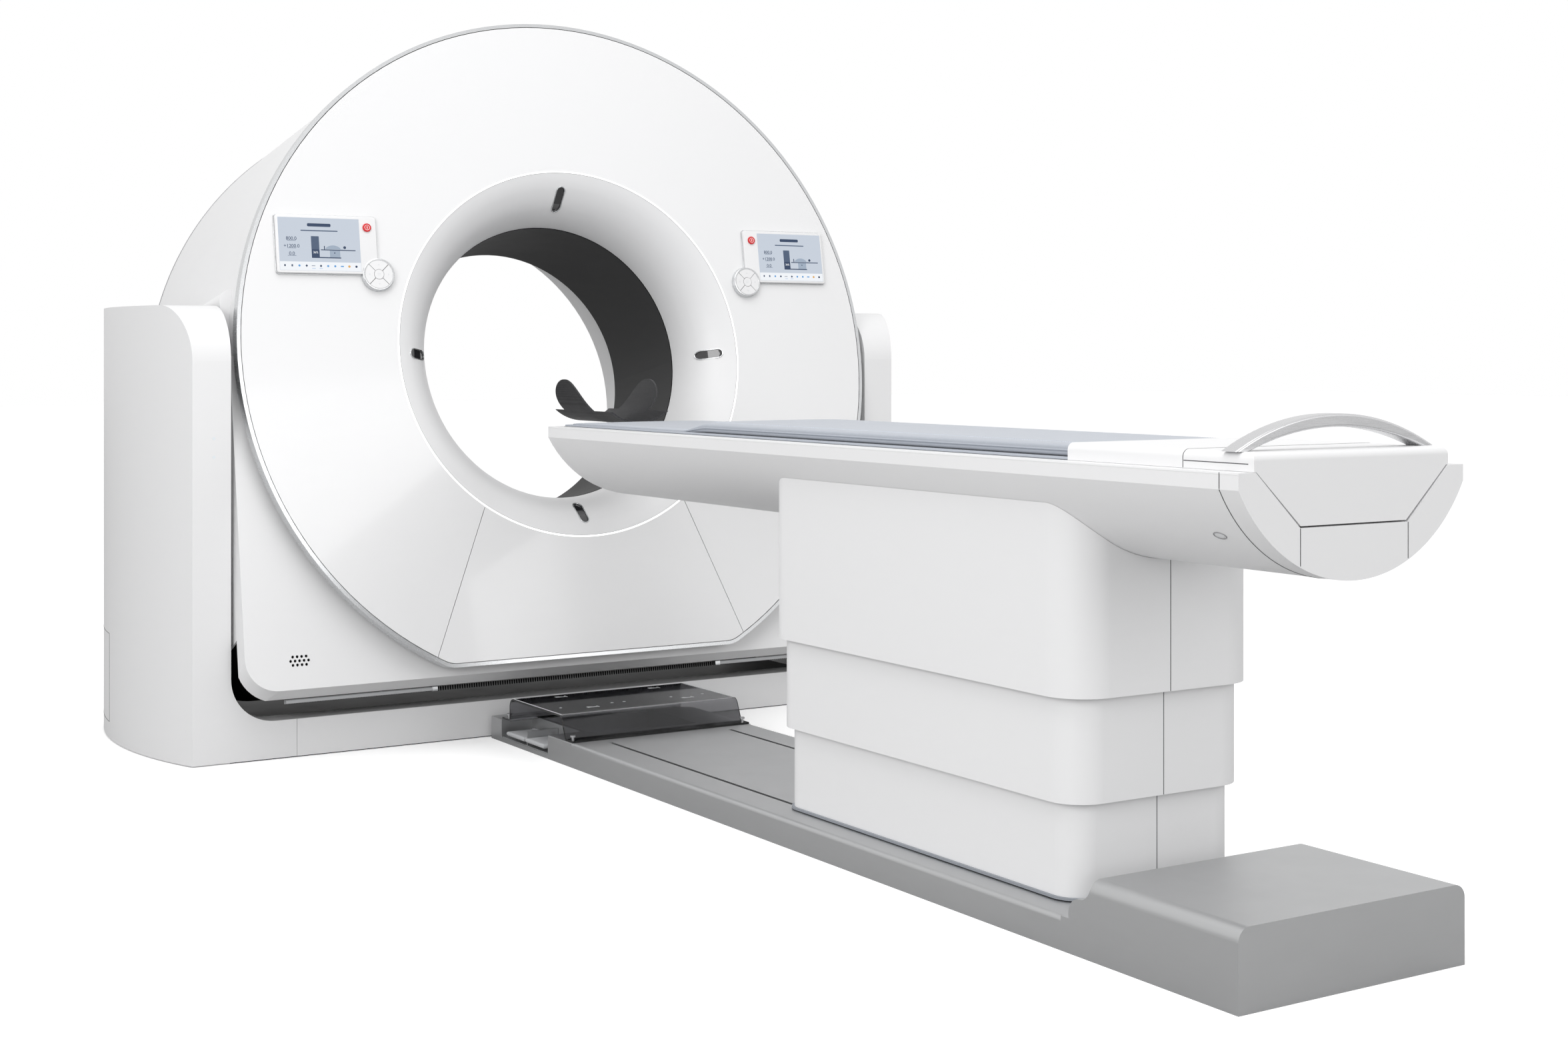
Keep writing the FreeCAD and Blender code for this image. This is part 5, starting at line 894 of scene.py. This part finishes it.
def mattress():
    """Closed pad of rounded sections: a section is a superellipse of power 8 across with a
    flat base, its crown a little higher in the middle, drawn in at the welt and at both
    ends, and dipped along two sewn lines beside its long edges."""
    along = np.concatenate([[0, 0.0008, 0.002, 0.004, 0.007, 0.011], np.linspace(0.016, 0.984, 200) ,
                            [0.989, 0.993, 0.996, 0.998, 0.9992, 1.0]])
    y = PAD_START + (PAD_FINISH - PAD_START) * along
    turn = np.arange(120) * TAU / 120
    c, s = np.cos(turn), np.sin(turn)
    wide = np.sign(c) * np.abs(c) ** 0.22
    tall = np.sign(s) * np.abs(s) ** 0.42
    thick = pad_height(y)[:, None]
    reach = np.minimum(along, 1 - along)[:, None] * abs(PAD_FINISH - PAD_START)
    soften = np.sqrt(1 - (1 - np.clip(reach / 0.010, 0, 1)) ** 2)
    x = wide[None] * (PAD_HALF - 0.010 * (1 - soften))
    share = x / PAD_HALF
    crown = 1 + 0.045 * (1 - share ** 2)
    half = thick / 2 * (0.25 + 0.75 * soften)
    z = CRADLE_TOP + 0.0004 + thick / 2 + np.where(tall > 0, tall * half * crown, tall * half)
    sewn = np.exp(-((np.abs(x) - 0.178) / 0.0035) ** 2) * (tall > 0.3)
    z = z - 0.0016 * sewn * np.clip(thick / 0.02, 0.4, 1)
    ripple = 0.00035 * np.sin(y * 41)[:, None] * np.sin(x * 17 + 0.6) * (tall > 0.3)
    z = z + ripple
    waist = np.exp(-((z - CRADLE_TOP - thick / 2) / 0.0022) ** 2) * (np.abs(share) > 0.97)
    x = x * (1 - 0.004 * waist)
    grid = np.stack([x, np.broadcast_to(y[:, None], x.shape), z], axis=2)
    piece = surface("mattress_pad", grid, PAD_CLOTH, "cradle", "mattress", sharp=60)
    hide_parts("mattress")
    return piece


def pad_rim(steps_side=160):
    """Path round the pad at half its thickness."""
    y = np.linspace(PAD_START - 0.004, PAD_FINISH + 0.004, steps_side)
    x = np.linspace(PAD_HALF - 0.004, -PAD_HALF + 0.004, 24)
    right = np.column_stack([np.full(steps_side, PAD_HALF), y])
    far = np.column_stack([x, np.full(24, PAD_FINISH + 0.0005)])
    path = np.concatenate([right, far, right[::-1] * [-1, 1],
                           np.column_stack([x[::-1], np.full(24, PAD_START - 0.0005)])])
    height = CRADLE_TOP + 0.0004 + pad_height(path[:, 1]) / 2
    return np.column_stack([path, height])


mattress()
sweep("mattress_welt", pad_rim(), disc(0, 0, 0.0021, 10), PAD_WELT, "cradle", "mattress",
      up=(0, 0, 1), closed=True)


def hem(side):
    """Thin flat hem that runs out from the pad to the cradle's edge."""
    left, right = sorted((side * 0.2025, side * 0.2295))
    outline = rounded_box(left, right, PAD_FINISH, PAD_START, 0.006)
    slab(SIDES[side] + "_mattress_hem", outline, CRADLE_TOP + 0.0003,
         CRADLE_TOP + 0.0042, 0.0016, on_floor_plan, PAD_WELT, "cradle", "mattress")


for side in SIDES:
    hem(side)


def stitches():
    """Two rows of short thread stitches in the sewn lines beside the pad's edges."""
    y = np.arange(PAD_START - 0.03, PAD_FINISH + 0.03, -0.0075)
    count = len(y)
    half_w, half_l, tall = 0.0007, 0.0024, 0.0007
    cube = np.array([(a, b, c) for c in (-1, 1) for a, b in ((-1, -1), (1, -1), (1, 1), (-1, 1))], float)
    cube[4:, :2] *= 0.6
    points, faces = [], []
    quads = np.array([(0, 3, 2, 1), (4, 5, 6, 7), (0, 1, 5, 4), (1, 2, 6, 5), (2, 3, 7, 6), (3, 0, 4, 7)])
    for row, x in enumerate((-0.178, 0.178)):
        thick = pad_height(y)
        top = CRADLE_TOP + 0.0004 + thick / 2 + thick / 2 * (1 + 0.045 * 0.23) - 0.0016 * np.clip(
            thick / 0.02, 0.4, 1)
        centre = np.column_stack([np.full(count, x), y, top])
        block = centre[:, None] + cube[None] * [half_w, half_l, tall]
        points.append(block.reshape(-1, 3))
        start = (np.arange(count) + row * count) * 8
        faces += (start[:, None, None] + quads[None]).reshape(-1, 4).tolist()
    new_piece("mattress_stitches", np.concatenate(points), faces, THREAD, "cradle", "mattress")


stitches()


# ------------------------------------------------------------ hood and rail

def hood_marks():
    """Plain no-step signs on the hood: a wedge and a sole each, and rows of dots."""
    marks = []
    for x in (-0.141, 0.151):
        for y in (-0.195, -0.400):
            sole = polygon((-0.015, -0.006), (0.015, -0.006), (0.015, 0.000), (0.004, 0.002),
                           (-0.004, 0.010), (-0.015, 0.010))
            marks.append(sole * 0.9 + [x, y])
            marks.append(rounded_box(x + 0.016, x + 0.020, y - 0.009, y + 0.011, 0.001, 3))
    dots = [disc(x, -0.367, 0.0042, 18) for x in (-0.219, -0.064, -0.027, 0.119, 0.219)]
    tiles("hood_marks", marks + dots, HOOD_TOP + 0.00005, HOOD_TOP + 0.0004, on_floor_plan,
          GREY_PLASTIC, "stand", "grey_plastic")


hood_marks()
# Pale strips along both top edges of the smoked hood: a painted highlight standing in for the glint on
# the sheet's edges
for side in SIDES:
    name = SIDES[side]
    path = [(side * 0.2645, y, HOOD_TOP + 0.0002) for y in (-0.150, -0.470)]
    sweep(name + "_hood_edge_light", path, bar_section(0.0020, 0.0012, 0.0004), PALE_MARK, "stand",
          up=(0, 0, 1))

# ------------------------------------------------------------ room, light and camera

floor_mesh = bpy.data.meshes.new("floor")
floor_mesh.from_pydata([(-40, -40, 0), (40, -40, 0), (40, 40, 0), (-40, 40, 0)], [], [(0, 1, 2, 3)])
floor_piece = bpy.data.objects.new("floor", floor_mesh)
floor_white = opaque("floor_white", (0.93, 0.93, 0.93), (0.91, 0.91, 0.91), 0.8, grain=60,
                     strength=0.02, scale=0.4, specular=0.1)
floor_mesh.materials.append(floor_white)
bpy.context.scene.collection.objects.link(floor_piece)

world = bpy.data.worlds.new("studio")
world.use_nodes = True
backdrop = world.node_tree.nodes["Background"]
seen = world.node_tree.nodes.new("ShaderNodeLightPath").outputs["Is Camera Ray"]
backdrop.inputs["Color"].default_value = (1.0, 1.0, 1.0, 1)
wire(world.node_tree, backdrop.inputs["Strength"],
     calculate(world.node_tree, "MULTIPLY_ADD", seen, 0.13, 0.87))
bpy.context.scene.world = world


def quieten_floor():
    """Floor that looks pale but throws back less light, so undersides stay in shade."""
    tree = floor_white.node_tree
    shader = tree.nodes["Principled BSDF"]
    seen_floor = tree.nodes.new("ShaderNodeLightPath").outputs["Is Camera Ray"]
    blend = add(tree, "Mix", {"data_type": "RGBA"})
    wire(tree, blend.inputs[0], seen_floor)
    wire(tree, blend.inputs[6], (0.44, 0.44, 0.44, 1))
    wire(tree, blend.inputs[7], shader.inputs["Base Color"].links[0].from_socket)
    tree.links.new(blend.outputs[2], shader.inputs["Base Color"])
    settle(shader, Emission_Color=(1, 1, 1, 1))
    wire(tree, shader.inputs["Emission Strength"], calculate(tree, "MULTIPLY", seen_floor, 0.24))


quieten_floor()


def softbox(name, place, target, width, height, power):
    """Large rectangular light that faces a target."""
    lamp = bpy.data.lights.new(name, "AREA")
    lamp.shape = "RECTANGLE"
    lamp.size, lamp.size_y, lamp.energy = width, height, power
    holder = bpy.data.objects.new(name, lamp)
    from_to = np.array(target, float) - np.array(place, float)
    holder.location = place
    level = math.hypot(from_to[0], from_to[1])
    holder.rotation_euler = (math.atan2(level, -from_to[2]), 0,
                             math.atan2(from_to[1], from_to[0]) - TAU / 4)
    bpy.context.scene.collection.objects.link(holder)


softbox("overhead", (-1.0, -2.4, 5.0), (0.0, -0.4, 0.4), 4.0, 3.0, 80)
softbox("left_wall", (-5.0, -4.0, 2.6), (0, -0.5, 0.8), 2.5, 2.5, 92)
softbox("front_wall", (2.0, -9.0, 2.4), (0.2, -0.5, 0.8), 4.0, 3.0, 75)

camera_data = bpy.data.cameras.new("camera")
camera_data.lens = 49.43
camera_data.sensor_width = 36
camera_data.shift_x = -0.0700
camera_data.shift_y = -0.1088
camera_data.clip_end = 200
camera = bpy.data.objects.new("camera", camera_data)
camera.location = (-2.720, -5.756, 1.099)
camera.rotation_euler = (math.radians(90), 0, math.radians(-33.69))
bpy.context.scene.collection.objects.link(camera)
bpy.context.scene.camera = camera
bpy.context.scene.view_settings.view_transform = "Standard"
